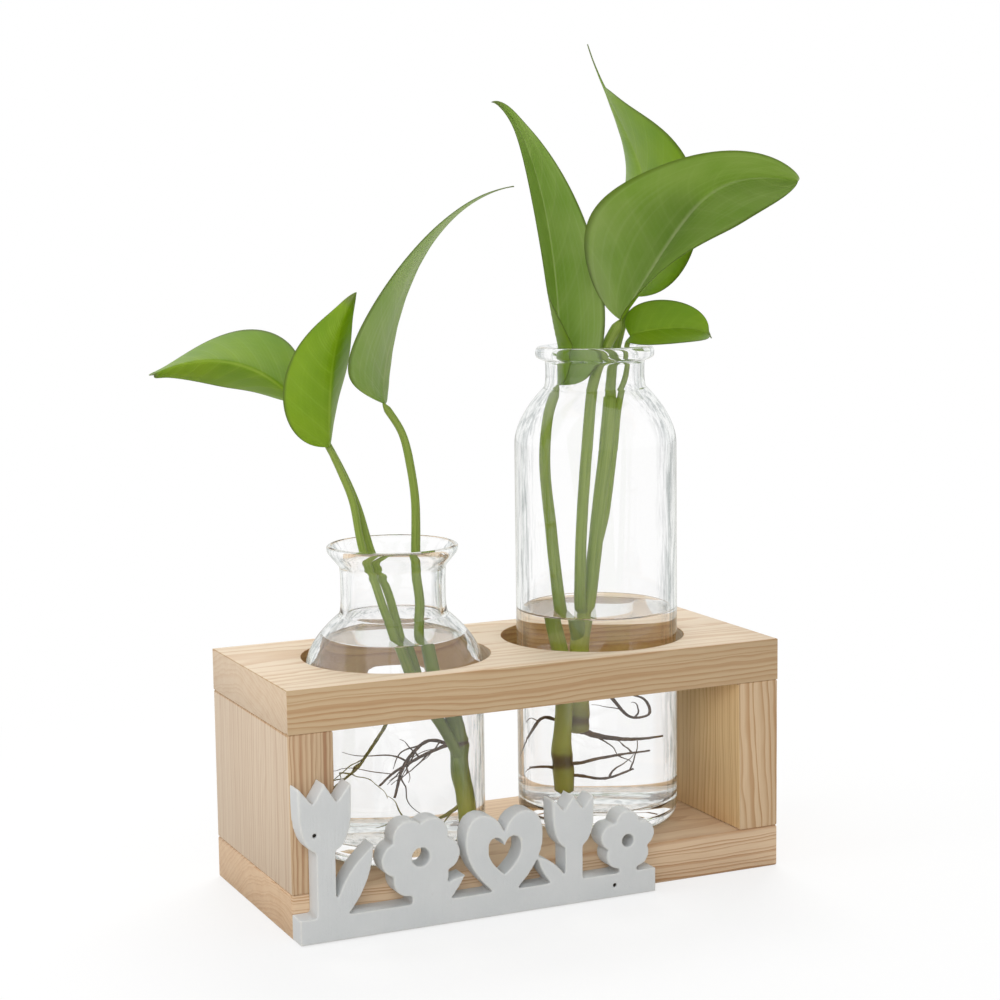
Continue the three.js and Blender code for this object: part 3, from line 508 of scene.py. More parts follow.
outlines = [
    rectangle(0, 0, CUTOUT_LENGTH, BAR_HEIGHT),
    *tulip(10, 32, 20, 25), almond(12, 4, 28, 33, 8),
    *daisy(46, 26, 6, 9, 6.2), almond(45, 4, 63, 17, 6),
    heart(79, 5, 31, 33),
    *tulip(107, 21, 17, 20), almond(106, 4, 92, 20, 6),
    *daisy(129.5, 21, 5, 6.5, 5),
]
openings = [circle(46, 26, 3.4, 32), heart(79, 15, 13, 14), circle(129.5, 21, 2.4, 28)]
nail_holes = [(6, 39, 0.9), (124, 4.5, 0.9)]


def joined(name, meshes):
    bm = bmesh.new()
    for mesh in meshes:
        bm.from_mesh(mesh)
        bpy.data.meshes.remove(mesh)
    return new_piece(name, mesh_of(bm, name))


cutout = joined("cutout", [sawn("flower", outline).data for outline in outlines])
cut(cutout, joined("openings", [
    sawn("opening", outline, CUTOUT_THICKNESS).data
    for outline in openings + [circle(x, y, r, 20) for x, y, r in nail_holes]]))
grain = cutout.modifiers.new("grain", "REMESH")
grain.mode = "VOXEL"
grain.voxel_size = CUTOUT_GRAIN
sanded = cutout.modifiers.new("sanded", "SMOOTH")
sanded.factor = 0.5
sanded.iterations = 5
applied(cutout)
cutout.data.shade_smooth()

material, tree = new_material("off_white_paint")
place = own_place(tree)
brushed = noise_at(tree, place, (900, 900, 90), 3, 0.6)
blotches = noise_at(tree, place, (70, 70, 70), 3)
pores = noise_at(tree, place, (1400, 1400, 1400), 2)
edge = node(tree, "NewGeometry").outputs["Pointiness"]
# Paler specks on the sharp edges: worn paint and a painted highlight
worn_and_lit_edge = ramp(tree, edge, [(0.5, 0), (0.56, 1)])
# Darker brown-grey in the hollows and inner corners: painted shade
shaded_hollow = ramp(tree, edge, [(0.44, 1), (0.5, 0)])
coat = mix(tree, blotches, srgb(210, 214, 216), srgb(224, 226, 227))
coat = mix(tree, times(tree, worn_and_lit_edge, times(tree, pores, 0.9)), coat, srgb(238, 236, 228))
coat = mix(tree, times(tree, shaded_hollow, 0.5), coat, srgb(150, 140, 124))
bump = node(tree, "Bump", Strength=0.55, Distance=0.0004, Height=times(tree, pores, 0.5, brushed))
to_output(tree, node(tree, "BsdfPrincipled", Base_Color=coat, Normal=bump,
                     Roughness=times(tree, blotches, 0.15, 0.55)))
finished(cutout, material, "stand", "white_paint", "front_ornament")


# Bottles. Blown clear glass with a thick domed base. The short one has a straight
# neck, a thin ring and a flared lip; the tall one has a flat bead at its mouth.

GLASS_FACETS = 128
SHOULDER_POWER = 1.85
PUNT_RISE = 1.6
LIP_ROUND = 1.1
FLOOR_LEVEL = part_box("short_bottle")[0].z


def ring_mesh(name, loops, start, end, lay=None):
    """A skin over closed loops of points, with a pole at each end. Its lay runs from 0 to 1
    round the loops and from 0 to 1 from start to end, unless another lay is given."""
    around = len(loops[0])
    last = len(loops) - 1
    lay = lay or (lambda row, i: (i / around, row / last))
    points = [p for loop in loops for p in loop] + [start, end]
    faces, places = [], []
    for row in range(last):
        low, high = row * around, (row + 1) * around
        for i in range(around):
            j = (i + 1) % around
            faces.append((low + i, low + j, high + j, high + i))
            places += [lay(row, i), lay(row, i + 1), lay(row + 1, i + 1), lay(row + 1, i)]
    for i in range(around):
        faces.append((len(points) - 2, (i + 1) % around, i))
        places += [(0.5, 0.0), lay(0, i + 1), lay(0, i)]
    for i in range(around):
        faces.append((len(points) - 1, last * around + i, last * around + (i + 1) % around))
        places += [(0.5, 1.0), lay(last, i), lay(last, i + 1)]
    mesh = bpy.data.meshes.new(name)
    mesh.from_pydata(points, [], faces)
    for corner, place in zip(mesh.uv_layers.new(name="lay").data, places):
        corner.uv = place
    mesh.shade_smooth()
    return mesh


def turned(name, profile, x):
    """A skin turned about the upright axis at x from (radius, height) pairs in mm, both
    of whose ends lie on the axis."""
    loops = [[Vector((x + radius * cos(turn) * MM, radius * sin(turn) * MM,
                      FLOOR_LEVEL + height * MM)) for turn in turn_steps(GLASS_FACETS)]
             for radius, height in profile[1:-1]]
    poles = [Vector((x, 0, FLOOR_LEVEL + profile[k][1] * MM)) for k in (0, -1)]
    mesh = ring_mesh(name, loops, *poles)
    bm = bmesh.new()
    bm.from_mesh(mesh)
    bmesh.ops.recalc_face_normals(bm, faces=bm.faces)
    bm.to_mesh(mesh)
    bm.free()
    return new_piece(name, mesh)


def stepped(profile, longest):
    """Splits the long runs of a profile, so that smooth shading keeps straight walls true."""
    made = [profile[0]]
    for (r0, h0), (r1, h1) in zip(profile, profile[1:]):
        steps = ceil(hypot(r1 - r0, h1 - h0) / longest)
        made += [(r0 + (r1 - r0) * i / steps, h0 + (h1 - h0) * i / steps)
                 for i in range(1, steps + 1)]
    return made


def softened(profile, rounds=3):
    """Cuts the corners of a profile again and again, which rounds it; its ends stay."""
    for _ in range(rounds):
        made = [profile[0]]
        for (r0, h0), (r1, h1) in zip(profile, profile[1:]):
            made += [(0.75 * r0 + 0.25 * r1, 0.75 * h0 + 0.25 * h1),
                     (0.25 * r0 + 0.75 * r1, 0.25 * h0 + 0.75 * h1)]
        profile = made + [profile[-1]]
        profile[1] = (profile[1][0], profile[0][1])
    return profile


def shoulder(body, neck, start, end, steps=10):
    return [(body - (body - neck) * (i / steps) ** SHOULDER_POWER,
             start + (end - start) * i / steps) for i in range(steps + 1)]


def arc(r, h, radius, first, last, steps):
    angles = [radians(first + (last - first) * i / steps) for i in range(steps + 1)]
    return [(r + radius * cos(a), h + radius * sin(a)) for a in angles]


def foot(body, corner):
    ring = body - corner
    return [(0, PUNT_RISE), (0.55 * ring, 0.8 * PUNT_RISE), (0.85 * ring, 0),
            *arc(ring, corner, corner, -90, 0, 6)]


def well(bore, corner, floor):
    return [(0, floor + PUNT_RISE), (0.5 * (bore - corner), floor + 0.7 * PUNT_RISE),
            *arc(bore - corner, floor + corner, corner, -90, 0, 6)]


class Bottle:
    """Sizes of a bottle in mm, over the board that it stands on. Stems and roots have
    their places by the level named filled, and the water stands at the one named water."""

    def __init__(self, **sizes):
        self.__dict__.update(sizes)
        self.neck_bore = self.neck - self.wall
        self.bore = self.body - self.wall

    def inside(self):
        lift = 0.4 * self.wall
        return softened([
            *well(self.bore, self.inner_corner, self.floor),
            *shoulder(self.bore, self.neck_bore, self.shoulder_start - lift,
                      self.neck_start - lift), *self.mouth_inside])


short = Bottle(name="short_bottle", x=-42.1, height=116, body=33.5, neck=19.75, wall=2.4,
               floor=7, shoulder_start=70, neck_start=90.5, water=80.3, filled=84.5,
               outer_corner=6, inner_corner=3.6)
short.mouth_outside = [
    (19.75, 104.2), (19.9, 105.4), (20, 106.4), (19.95, 107.2), (20.2, 108), (20.9, 108.9),
    (22.3, 110.6), (24.2, 112.9), (24.75, 114.3), (24.6, 115.5), (23.8, 116)]
short.mouth_inside = [(17.35, 106.4), (17.6, 107.6), (18.3, 109.1), (19.2, 110.3), (20.6, 112),
                      (22.1, 114), (22.7, 115.2), (23.2, 116)]
tall = Bottle(name="tall_bottle", x=43.5, height=187, body=31.5, neck=19.1, wall=2.2,
              floor=9, shoulder_start=149, neck_start=172, water=84.2, filled=84.2,
              outer_corner=7.5, inner_corner=3.8)
tall.mouth_outside = [
    (19.1, 180.6), (19.5, 181.4), (21.4, 182), (22.7, 182.8), (23, 184), (22.95, 185.7),
    (22.2, 186.8), (21, 187)]
tall.mouth_inside = [(16.9, 184.5), (17.3, 186.3), (18.4, 187)]


def clear_body(name, edge, shadow, ior, streaked):
    """Clear at the middle and, seen edge on, grey-green, partly the tint of its thick body and
    partly a painted dark reflection, with painted streaks of reflection. Light that has been led
    round inside it too often goes straight on, as through its far side."""
    material, tree = new_material(name)
    facing = node(tree, "LayerWeight", Blend=0.5).outputs["Facing"]
    # Darker grey-green towards the edges: partly the body's own tint, partly painted dark
    # reflection
    tint = ramp(tree, facing, [(0.55, 1), (0.8, edge[0]), (1.0, edge[1])])
    # Painted reflection: dark streaks near the edges
    edge_streaks = noise_at(tree, own_place(tree), (420, 420, 60), 3)
    edge_streaks = times(tree, ramp(tree, facing, [(0.38, 0), (0.6, 1)]),
                  ramp(tree, edge_streaks, [(0.46, 0), (0.6, 1)]))
    tint = mix(tree, times(tree, edge_streaks, streaked), tint, edge[1])
    body = node(tree, "BsdfPrincipled", Base_Color=tint, Roughness=0.0, IOR=ior,
                Transmission_Weight=1.0)
    clear = node(tree, "BsdfTransparent", Color=shadow)
    rays = node(tree, "LightPath").outputs
    led_round = [maths(tree, "GREATER_THAN", rays[label], most)
                 for label, most in (("Glossy Depth", 1.5), ("Transmission Depth", 8.5))]
    straight = maths(tree, "MAXIMUM", maths(tree, "MAXIMUM", *led_round), rays["Is Shadow Ray"])
    to_output(tree, node(tree, "MixShader", i0=straight, i1=body, i2=clear))
    return material


material = clear_body("clear_glass", (srgb(226, 233, 230), srgb(118, 130, 130)),
                      (0.98, 0.985, 0.98, 1), 1.45, 0.8)
for bottle in (short, tall):
    outside = softened([*foot(bottle.body, bottle.outer_corner),
                        *shoulder(bottle.body, bottle.neck, bottle.shoulder_start,
                                  bottle.neck_start), *bottle.mouth_outside], 2)
    shell = turned(bottle.name + "_glass", stepped(outside + bottle.inside()[::-1], 2),
                   bottle.x * MM)
    finished(shell, material, bottle.name, "clear_glass", bottle.name)


# Water. It fills each bottle to a little over the top board, wets the glass and
# climbs it by a millimetre. Its skin lies just inside the glass, so that light
# passes from one to the other with no air between.

WET = 0.05
CLIMB = 1.2

material = clear_body("clear_water", (srgb(240, 244, 243), srgb(210, 216, 215)),
                      (0.985, 0.99, 0.985, 1), 1.33, 0.0)


def wetted(bottle):
    """The inside of a bottle up to its water line, with the curved rim of the water."""
    top = bottle.water + CLIMB
    below = [(r + WET if r else 0, h - WET if r < bottle.bore - 3 else h)
             for r, h in stepped(bottle.inside(), 0.3) if h < top]
    rim = below[-1][0]
    surface = [(rim - 0.35, top - 0.35), (rim - 0.9, top - 0.75), (rim - 1.9, top - 1.08),
               (rim - 3.6, bottle.water), (rim * 0.5, bottle.water), (0, bottle.water)]
    return below[:-3:4] + below[-3:] + surface


for bottle, name in ((short, "short_water"), (tall, "tall_water")):
    body = turned(name + "_body", wetted(bottle), bottle.x * MM)
    finished(body, material, bottle.name, "water", name)


# Stems. Rooted pothos cuttings: a piece of vine in the short bottle and two stems in
# the tall one, smooth and pale green, each with a ringed node and a browned cut
# end, and with channelled petioles that pass through the neck.

BOARD = 16


def bottle_of(name):
    return short if name.startswith("short") else tall


def places_in(bottle):
    """Places in a bottle's zones, as shares of the bore and of the zone's height, and
    over its mouth in mm from the middle of the rim."""
    def zone(bore, low, high):
        return lambda across, back, up: Vector(
            (bottle.x + across * bore, back * bore, BOARD + low + up * (high - low))) * MM
    return {
        "water": zone(bottle.bore, bottle.floor, bottle.filled),
        "air": zone(bottle.bore, bottle.filled, bottle.neck_start),
        "neck": zone(bottle.neck_bore, bottle.neck_start, bottle.height),
        "over": lambda across, back, up: Vector(
            (bottle.x + across, back, BOARD + bottle.height + up)) * MM,
    }


def through(points, steps):
    """A smooth curve through points (centripetal Catmull-Rom), in even steps."""
    ends = [2 * points[0] - points[1], *points, 2 * points[-1] - points[-2]]
    fine = []
    for a, b, c, d in zip(ends, ends[1:], ends[2:], ends[3:]):
        ta, tb, tc = (max((q - p).length, 1e-9) ** 0.5 for p, q in ((a, b), (b, c), (c, d)))
        out = ((b - a) / ta - (c - a) / (ta + tb) + (c - b) / tb) * tb
        into = ((c - b) / tb - (d - b) / (tb + tc) + (d - c) / tc) * tb
        for i in range(24):
            t = i / 24
            fine.append((2 * b - 2 * c + out + into) * t ** 3
                        + (3 * c - 3 * b - 2 * out - into) * t ** 2 + out * t + b)
    fine.append(points[-1])
    run = [0.0]
    for p, q in zip(fine, fine[1:]):
        run.append(run[-1] + (q - p).length)
    made, k = [], 0
    for i in range(steps + 1):
        want = run[-1] * i / steps
        while k < len(run) - 2 and run[k + 1] < want:
            k += 1
        span = run[k + 1] - run[k]
        made.append(fine[k].lerp(fine[k + 1], (want - run[k]) / span if span else 0))
    return made


def tube(name, path, radius, sides=18):
    """A closed round skin along a path; radius takes the share of the way and the turn."""
    loops = []
    ahead = (path[1] - path[0]).normalized()
    side = ahead.orthogonal().normalized()
    for i, place in enumerate(path):
        now = (path[min(i + 1, len(path) - 1)] - path[max(i - 1, 0)]).normalized()
        side = (ahead.rotation_difference(now) @ side).normalized()
        ahead = now
        up = ahead.cross(side)
        share = i / (len(path) - 1)
        loops.append([place + (side * cos(t) + up * sin(t)) * radius(share, t)
                      for t in turn_steps(sides)])
    return ring_mesh(name, loops, path[0].copy(), path[-1].copy())


# Green skin: long pale streaks, painted light that makes a rooted stem paler and yellower
# low down in the water, a brown ring at the node and a browned end where the stem was cut
skin, given, leaving = new_group("stem_skin", [
    ("Lay", "Vector", None), ("Place", "Vector", None), ("Node", "Float", -1.0),
    ("Cut", "Float", -1.0), ("Rooted", "Float", 0.0)],
    [("Color", "Color"), ("Height", "Float")])
lay = node(skin, "SeparateXYZ", Vector=given["Lay"])
streaks = noise_at(skin, given["Lay"], (26, 5, 1), 2)
clouds = noise_at(skin, given["Place"], (90, 90, 50), 2)
green = mix(skin, ramp(skin, streaks, [(0.3, 0), (0.7, 1)]), srgb(108, 132, 40),
            srgb(150, 168, 78))
green = mix(skin, times(skin, clouds, 0.7), green, srgb(130, 152, 46))
# Painted light: a rooted stem turns paler and yellower towards its lower end, in the water
low = ramp(skin, lay.outputs["Y"], [(0.15, 1), (0.45, 0)])
green = mix(skin, times(skin, low, given["Rooted"]), green, srgb(190, 194, 84))
gap = maths(skin, "ABSOLUTE", maths(skin, "SUBTRACT", lay.outputs["Y"], given["Node"]))
gap = times(skin, maths(skin, "SUBTRACT", clouds, 0.5), 0.03, gap)
ringed = ramp(skin, gap, [(0.0, 1), (0.01, 0.9), (0.022, 0.25), (0.05, 0)])
green = mix(skin, ringed, green, srgb(92, 70, 34))
cut_end = node(skin, "MapRange", Value=lay.outputs["Y"], From_Min=given["Cut"],
               From_Max=0.0)
cut_end = times(skin, cut_end, maths(skin, "GREATER_THAN", given["Cut"], 0.0))
green = mix(skin, times(skin, cut_end, 0.5), green, srgb(134, 118, 34))
wired(leaving, Color=green, Height=times(skin, streaks, 0.6, clouds))


def stem_green(name, node_at=-1.0, cut_to=-1.0):
    material, tree = new_material(name)
    coordinates = node(tree, "TexCoord").outputs
    look = node(tree, "Group", {"node_tree": skin}, Lay=coordinates["UV"],
                Place=coordinates["Object"], Node=node_at, Cut=cut_to,
                Rooted=float(cut_to > 0)).outputs
    bump = node(tree, "Bump", Strength=0.25, Distance=0.0004, Height=look["Height"])
    to_output(tree, node(tree, "BsdfPrincipled", Base_Color=look["Color"], Roughness=0.42,
                         Normal=bump, Subsurface_Weight=0.15, Subsurface_Scale=0.001,
                         Subsurface_Radius=(0.6, 1.0, 0.3)))
    return material


# Each stem: the CAD node, its thickness in mm at the start and the end, where along it the
# node sits, and its places in the zones that it passes
STEMS = (
    ("short_vine", 6.4, 4.8, 0.62, dict(
        water=[(0.62, -0.29, 0.019), (0.59, -0.27, 0.16), (0.54, -0.25, 0.3), (0.53, -0.25, 0.44),
               (0.47, -0.21, 0.6), (0.4, -0.18, 0.68)])),
    ("short_petiole_left", 3.8, 2.6, None, dict(
        water=[(0.52, -0.24, 0.44), (0.33, -0.19, 0.571), (0.14, -0.13, 0.79),
               (0.035, -0.08, 0.963)],
        neck=[(-0.075, -0.03, 0.17), (-0.24, 0.06, 0.54), (-0.45, 0.14, 0.91)],
        over=[(-11.9, 5.4, 15.1), (-17.2, 11.4, 31), (-24, 16.6, 45.4), (-31.3, 16.8, 54)])),
    ("short_petiole_middle", 3.7, 2.6, None, dict(
        water=[(0.54, -0.27, 0.36), (0.38, -0.36, 0.5), (0.02, -0.29, 0.807),
               (-0.11, -0.225, 0.98)],
        neck=[(-0.4, -0.28, 0.22), (-0.54, -0.2, 0.58), (-0.72, -0.09, 0.95)],
        over=[(-14.6, 2.9, 17.5), (-18.2, 5.2, 28.3), (-21.6, 7, 36.9)])),
    ("short_petiole_right", 4.2, 2.8, None, dict(
        water=[(0.41, -0.18, 0.67), (0.32, -0.13, 0.779), (0.3, -0.07, 0.942)],
        neck=[(0.59, -0.075, 0.13), (0.54, -0.04, 0.51), (0.53, -0.04, 0.88)],
        over=[(9.4, -0.6, 14.8), (8.3, 0.8, 28.3), (5.8, 2.6, 41.1), (-1, 4, 52.5)])),
    ("tall_stem_left", 5.8, 4, 0.08, dict(
        water=[(-0.365, 0.055, 0.04), (-0.375, 0.06, 0.19), (-0.385, 0.065, 0.28),
               (-0.36, 0.05, 0.5), (-0.38, 0.06, 0.75), (-0.48, 0.11, 1)],
        air=[(-0.59, 0.16, 0.38), (-0.65, 0.19, 0.66), (-0.6, 0.18, 0.86)],
        neck=[(-0.79, 0.31, -0.04)])),
    ("tall_stem_right", 5.6, 5.8, 0.04, dict(
        water=[(-0.13, 0.18, 0.35), (-0.115, 0.165, 0.55), (-0.1, 0.155, 0.85)],
        air=[(0.01, 0.155, 0.12), (0.12, 0.13, 0.45), (0.22, 0.115, 0.71), (0.29, 0.1, 0.94)])),
    ("tall_petiole_back", 4.4, 2.8, None, dict(
        air=[(0.285, 0.1, 0.93)],
        neck=[(0.51, 0.12, 0.35), (0.68, 0.2, 0.98)],
        over=[(14.6, 3.6, 9), (16.3, 3, 18.7)])),
    ("tall_petiole_side", 4.2, 2, None, dict(
        air=[(0.06, 0.15, 0.24), (0.2, 0.12, 0.42), (0.31, 0.09, 0.68), (0.38, 0.04, 0.9)],
        neck=[(0.8, -0.1, 0.45), (0.78, -0.1, 0.95)],
        over=[(14.6, -2, 3)])),
    ("tall_petiole_middle", 4.7, 4.2, None, dict(
        water=[(-0.11, 0.16, 0.84), (-0.2, 0.08, 1)],
        air=[(-0.19, 0.05, 0.35), (-0.1, 0.01, 0.78)],
        neck=[(-0.08, -0.12, 0.1), (0.06, -0.28, 0.8)],
        over=[(5, -8.9, 7.2), (6, -10.2, 10)])),
)
STEM_STEPS = 120
NODE_SWELL = 0.7
NODE_SPREAD = 0.05
NODE_PINCH = 0.012
CHANNEL = 0.14
CUT_END = 0.12
BLUNT_STEMS = ("short_vine", "tall_stem_right")

stem_ends = {}
zones = {short: places_in(short), tall: places_in(tall)}


def thickness(first, last, node_at, name):
    seed = Vector((len(name), first, last)) * 7.3

    def at(share, turn):
        radius = (first + (last - first) * share) / 2
        if node_at is None:
            radius *= 1 - CHANNEL * max(0, cos(turn)) ** 4
        else:
            radius += NODE_SWELL * exp(-(((share - node_at) / NODE_SPREAD) ** 2))
            radius -= 0.5 * NODE_SWELL * exp(-(((share - node_at) / NODE_PINCH) ** 2))
        lump = noise.noise(seed + Vector((cos(turn), sin(turn), share * 14)) * 0.8)
        taper = 0.01 if name in BLUNT_STEMS else 0.03
        round_end = min(1, (share + 0.002) / 0.01) ** 0.5 * min(1, (1.004 - share) / taper) ** 0.7
        return radius * (1 + 0.07 * lump) * round_end * MM
    return at


for name, first, last, node_at, path in STEMS:
    bottle = bottle_of(name)
    points = [zones[bottle][zone](*place) for zone, places in path.items() for place in places]
    stem_ends[name] = points[-1]
    mesh = tube(name + "_skin", through(points, STEM_STEPS), thickness(first, last, node_at, name))
    green = stem_green(name + "_green", *(() if node_at is None else (node_at, CUT_END)))
    finished(new_piece(name + "_skin", mesh), green, bottle.name, "green_stem", name)


# Leaves. Seven pothos blades, each grown along its own midrib: folded up or down from
# it and twisted, six of them with a drip tip. The upper face is bright and glossy, the
# underside duller, with a raised pale midrib and arching side veins.

DRIP_TIP_WIDTH = 0.13
LEAF_ROWS = 72
LEAF_COLUMNS = 40
BLADE_THICKNESS = 0.5
MIDRIB_RISE = 0.7
VEINS = 9
BROAD_TIP_LAY = 0.86


def outline_share(along, base_power, tip_power, drip_tip):
    """Half the width of a leaf along its midrib, as a share of the widest: a broad part
    that swells and narrows by its own powers, then a narrow drip tip."""
    along = min(max(along, 0.0), 1.0)
    peak = base_power / (base_power + tip_power)
    broad = min(along / (1 - drip_tip), 1)
    broad = (broad / peak) ** base_power * ((1 - broad) / (1 - peak)) ** tip_power
    narrow = DRIP_TIP_WIDTH * along * ((1 - along) / drip_tip) ** 0.8 if drip_tip else 0
    return (broad ** 4 + narrow ** 4) ** 0.25


def leaf_surface(leaf, bottle, stalk_end):
    """The middle surface of a blade: side runs from -1 to 1, along from 0 to 1."""
    a, (b, c, d) = stalk_end, (zones[bottle]["over"](*p) for p in leaf["midrib"])
    across = Vector(leaf["across"])

    def at(side, along):
        t = along
        middle = cubic(a, b, c, d, t)
        ahead = ((b - a) * (1 - t) ** 2 + (c - b) * 2 * t * (1 - t) + (d - c) * t * t).normalized()
        sideways = (across - ahead * across.dot(ahead)).normalized()
        upward = sideways.cross(ahead)
        width, fold = leaf["left"] if side < 0 else leaf["right"]
        width *= outline_share(along, *leaf["outline"]) * MM
        fold = radians(fold)
        offset = (sideways * width * side * cos(fold)
                  + upward * width * (abs(side) * sin(fold) + leaf["curl"] * side * side))
        turn = Quaternion(ahead, -radians(leaf["twist"] * along))
        point = middle + turn @ offset
        return rolled_in(point, bottle) if leaf.get("rolled") else point
    return at


def rolled_in(point, bottle):
    """A blade that starts inside a mouth lies rolled along the bore there."""
    over = max(0, point.z / MM - BOARD - bottle.height - LIP_ROUND)
    limit = bottle.neck_bore - 1.2 + 0.9 * over
    free = 0.85 * limit
    x, y = point.x / MM - bottle.x, point.y / MM
    distance = hypot(x, y)
    if distance <= free:
        return point
    room = limit - free
    held = free + room * (1 - exp((free - distance) / room))
    return Vector(((bottle.x + x * held / distance) * MM, y * held / distance * MM, point.z))


def blade(name, leaf, bottle, stalk_end):
    """A closed skin: each loop runs out over one face and back over the other. The upper
    face is the one that its surface turns to, or the other one where upper is -1."""
    surface = leaf_surface(leaf, bottle, stalk_end)
    nudge = 1e-3
    loops, uvs = [], []
    lay_length = 1 if leaf["outline"][2] else BROAD_TIP_LAY
    sides = [-cos(pi * i / LEAF_COLUMNS) for i in range(LEAF_COLUMNS + 1)]
    ring = sides + sides[-2:0:-1]
    faces = [1] * len(sides) + [-1] * (len(sides) - 2)
    upper = leaf.get("upper", 1)
    seed = Vector((len(name) * 3.1, leaf["twist"], leaf["curl"] * 40))
    for row in range(1, LEAF_ROWS):
        along = (1 - cos(pi * row / LEAF_ROWS)) / 2
        loop = []
        for side, face in zip(ring, faces):
            low, high = max(along - nudge, 0), min(along + nudge, 1)
            ahead = surface(side, high) - surface(side, low)
            left, right = max(side - nudge, -1), min(side + nudge, 1)
            normal = ahead.cross(surface(right, along) - surface(left, along)).normalized()
            half = BLADE_THICKNESS / 2 * sqrt(max(0, 1 - side * side)) ** 0.5
            half *= min(1, 6 * (1 - along) + 0.35)
            reach = abs(side)
            rib = exp(-((side / 0.05) ** 2)) * (1 - along) ** 0.7 * MIDRIB_RISE
            vein = cos(2 * pi * VEINS * (along - 0.2 * reach ** 1.2))
            puff = 0.11 * (1 - vein) / 2 * reach * (1 - reach) * 4
            wave = 0.5 * noise.noise(seed + Vector((side * 1.2, along * 3, 0))) * reach
            lift = face * half + puff + wave - upper * rib * (0.35 if face == upper else 1)
            loop.append(surface(side, along) + normal * lift * MM)
        loops.append(loop)
        uvs.append([(side / 2 + 0.5, along * lay_length) for side in ring])
    around = len(ring)
    mesh = ring_mesh(name, loops, surface(0, 0), surface(0, 1),
                     lambda row, i: uvs[row][i % around])
    for polygon in mesh.polygons:
        corners = polygon.vertices[:]
        column = (corners[0] if len(corners) == 4 else min(corners)) % around
        polygon.material_index = int(column >= LEAF_COLUMNS)
    return mesh


# Veins in a leaf's own lay: first across the blade, second along it
veins, given, leaving = new_group("leaf_veins", [("Lay", "Vector", None)], [
    (label, "Float") for label in ("Midrib", "Veins", "Between", "Margin", "Tip")])
lay = node(veins, "SeparateXYZ", Vector=given["Lay"])
reach = maths(veins, "ABSOLUTE", times(veins, lay.outputs["X"], 2.0, -1.0))
midrib = ramp(veins, reach, [(0.0, 1), (0.018, 0.85), (0.05, 0)])
fading = ramp(veins, lay.outputs["Y"], [(0.3, 1), (0.75, 0.15)])
wired(leaving, Midrib=times(veins, midrib, fading),
      Margin=ramp(veins, reach, [(0.93, 0), (0.985, 0.85)]),
      Tip=ramp(veins, lay.outputs["Y"], [(0.86, 0), (0.94, 0.7)]))
bent = maths(veins, "POWER", reach, 1.2)
for count, label in ((VEINS, "Veins"), (VEINS * 5, "Between")):
    phase = times(veins, times(veins, bent, -0.2, lay.outputs["Y"]), float(count))
    off = maths(veins, "ABSOLUTE", maths(veins, "SUBTRACT", maths(veins, "FRACT", phase), 0.5))
    line = ramp(veins, off, [(0.0, 1), (0.1, 0.35), (0.3, 0)])
    fading = maths(veins, "SUBTRACT", 1.0, times(veins, reach, 0.7))
    wired(leaving, **{label: times(veins, line, fading)})


def leaf_skin(name, base, shaded, vein, roughness, gloss, raised, translucent, streaked):
    """A face of a leaf: mottled green, paler veins, some light coming through."""
    material, tree = new_material(name)
    coordinates = node(tree, "TexCoord").outputs
    place = coordinates["Object"]
    lines = node(tree, "Group", {"node_tree": veins}, Lay=coordinates["UV"]).outputs
    clouds = noise_at(tree, place, (55, 55, 55), 3)
    cells = noise_at(tree, place, (1900, 1900, 1900), 2)
    colour = mix(tree, ramp(tree, clouds, [(0.3, 0), (0.7, 1)]), base, shaded)
    streaks = noise_at(tree, coordinates["UV"], (30, 2.2, 1), 2)
    streaks = ramp(tree, streaks, [(0.5, 0), (0.68, 1)])
    colour = mix(tree, times(tree, streaks, streaked), colour, vein)
    for label, share in (("Between", 0.12), ("Veins", 0.25), ("Midrib", 0.7)):
        colour = mix(tree, times(tree, lines[label], share), colour, vein)
    colour = mix(tree, lines["Margin"], colour, srgb(74, 82, 40))
    colour = mix(tree, lines["Tip"], colour, srgb(112, 108, 88))
    height = times(tree, lines["Veins"], raised, times(tree, cells, 0.25))
    height = times(tree, lines["Between"], raised * 0.3, height)
    bump = node(tree, "Bump", Strength=0.4, Distance=0.0003, Height=height)
    face = node(tree, "BsdfPrincipled", Base_Color=colour, Coat_Weight=gloss,
                Coat_Roughness=0.25, Specular_IOR_Level=0.3, Normal=bump,
                Roughness=times(tree, cells, 0.12, roughness))
    glow = node(tree, "BsdfTranslucent", Color=srgb(196, 224, 70), Normal=bump)
    to_output(tree, node(tree, "MixShader", i0=translucent, i1=face, i2=glow))
    return material


upper_skin = leaf_skin("leaf_upper", srgb(134, 164, 24), srgb(106, 144, 20), srgb(172, 198, 74),
                       0.38, 0.25, -0.8, 0.32, 0.1)
under_skin = leaf_skin("leaf_under", srgb(164, 184, 112), srgb(138, 168, 84), srgb(200, 212, 150),
                       0.5, 0.6, 1.0, 0.35, 0.3)

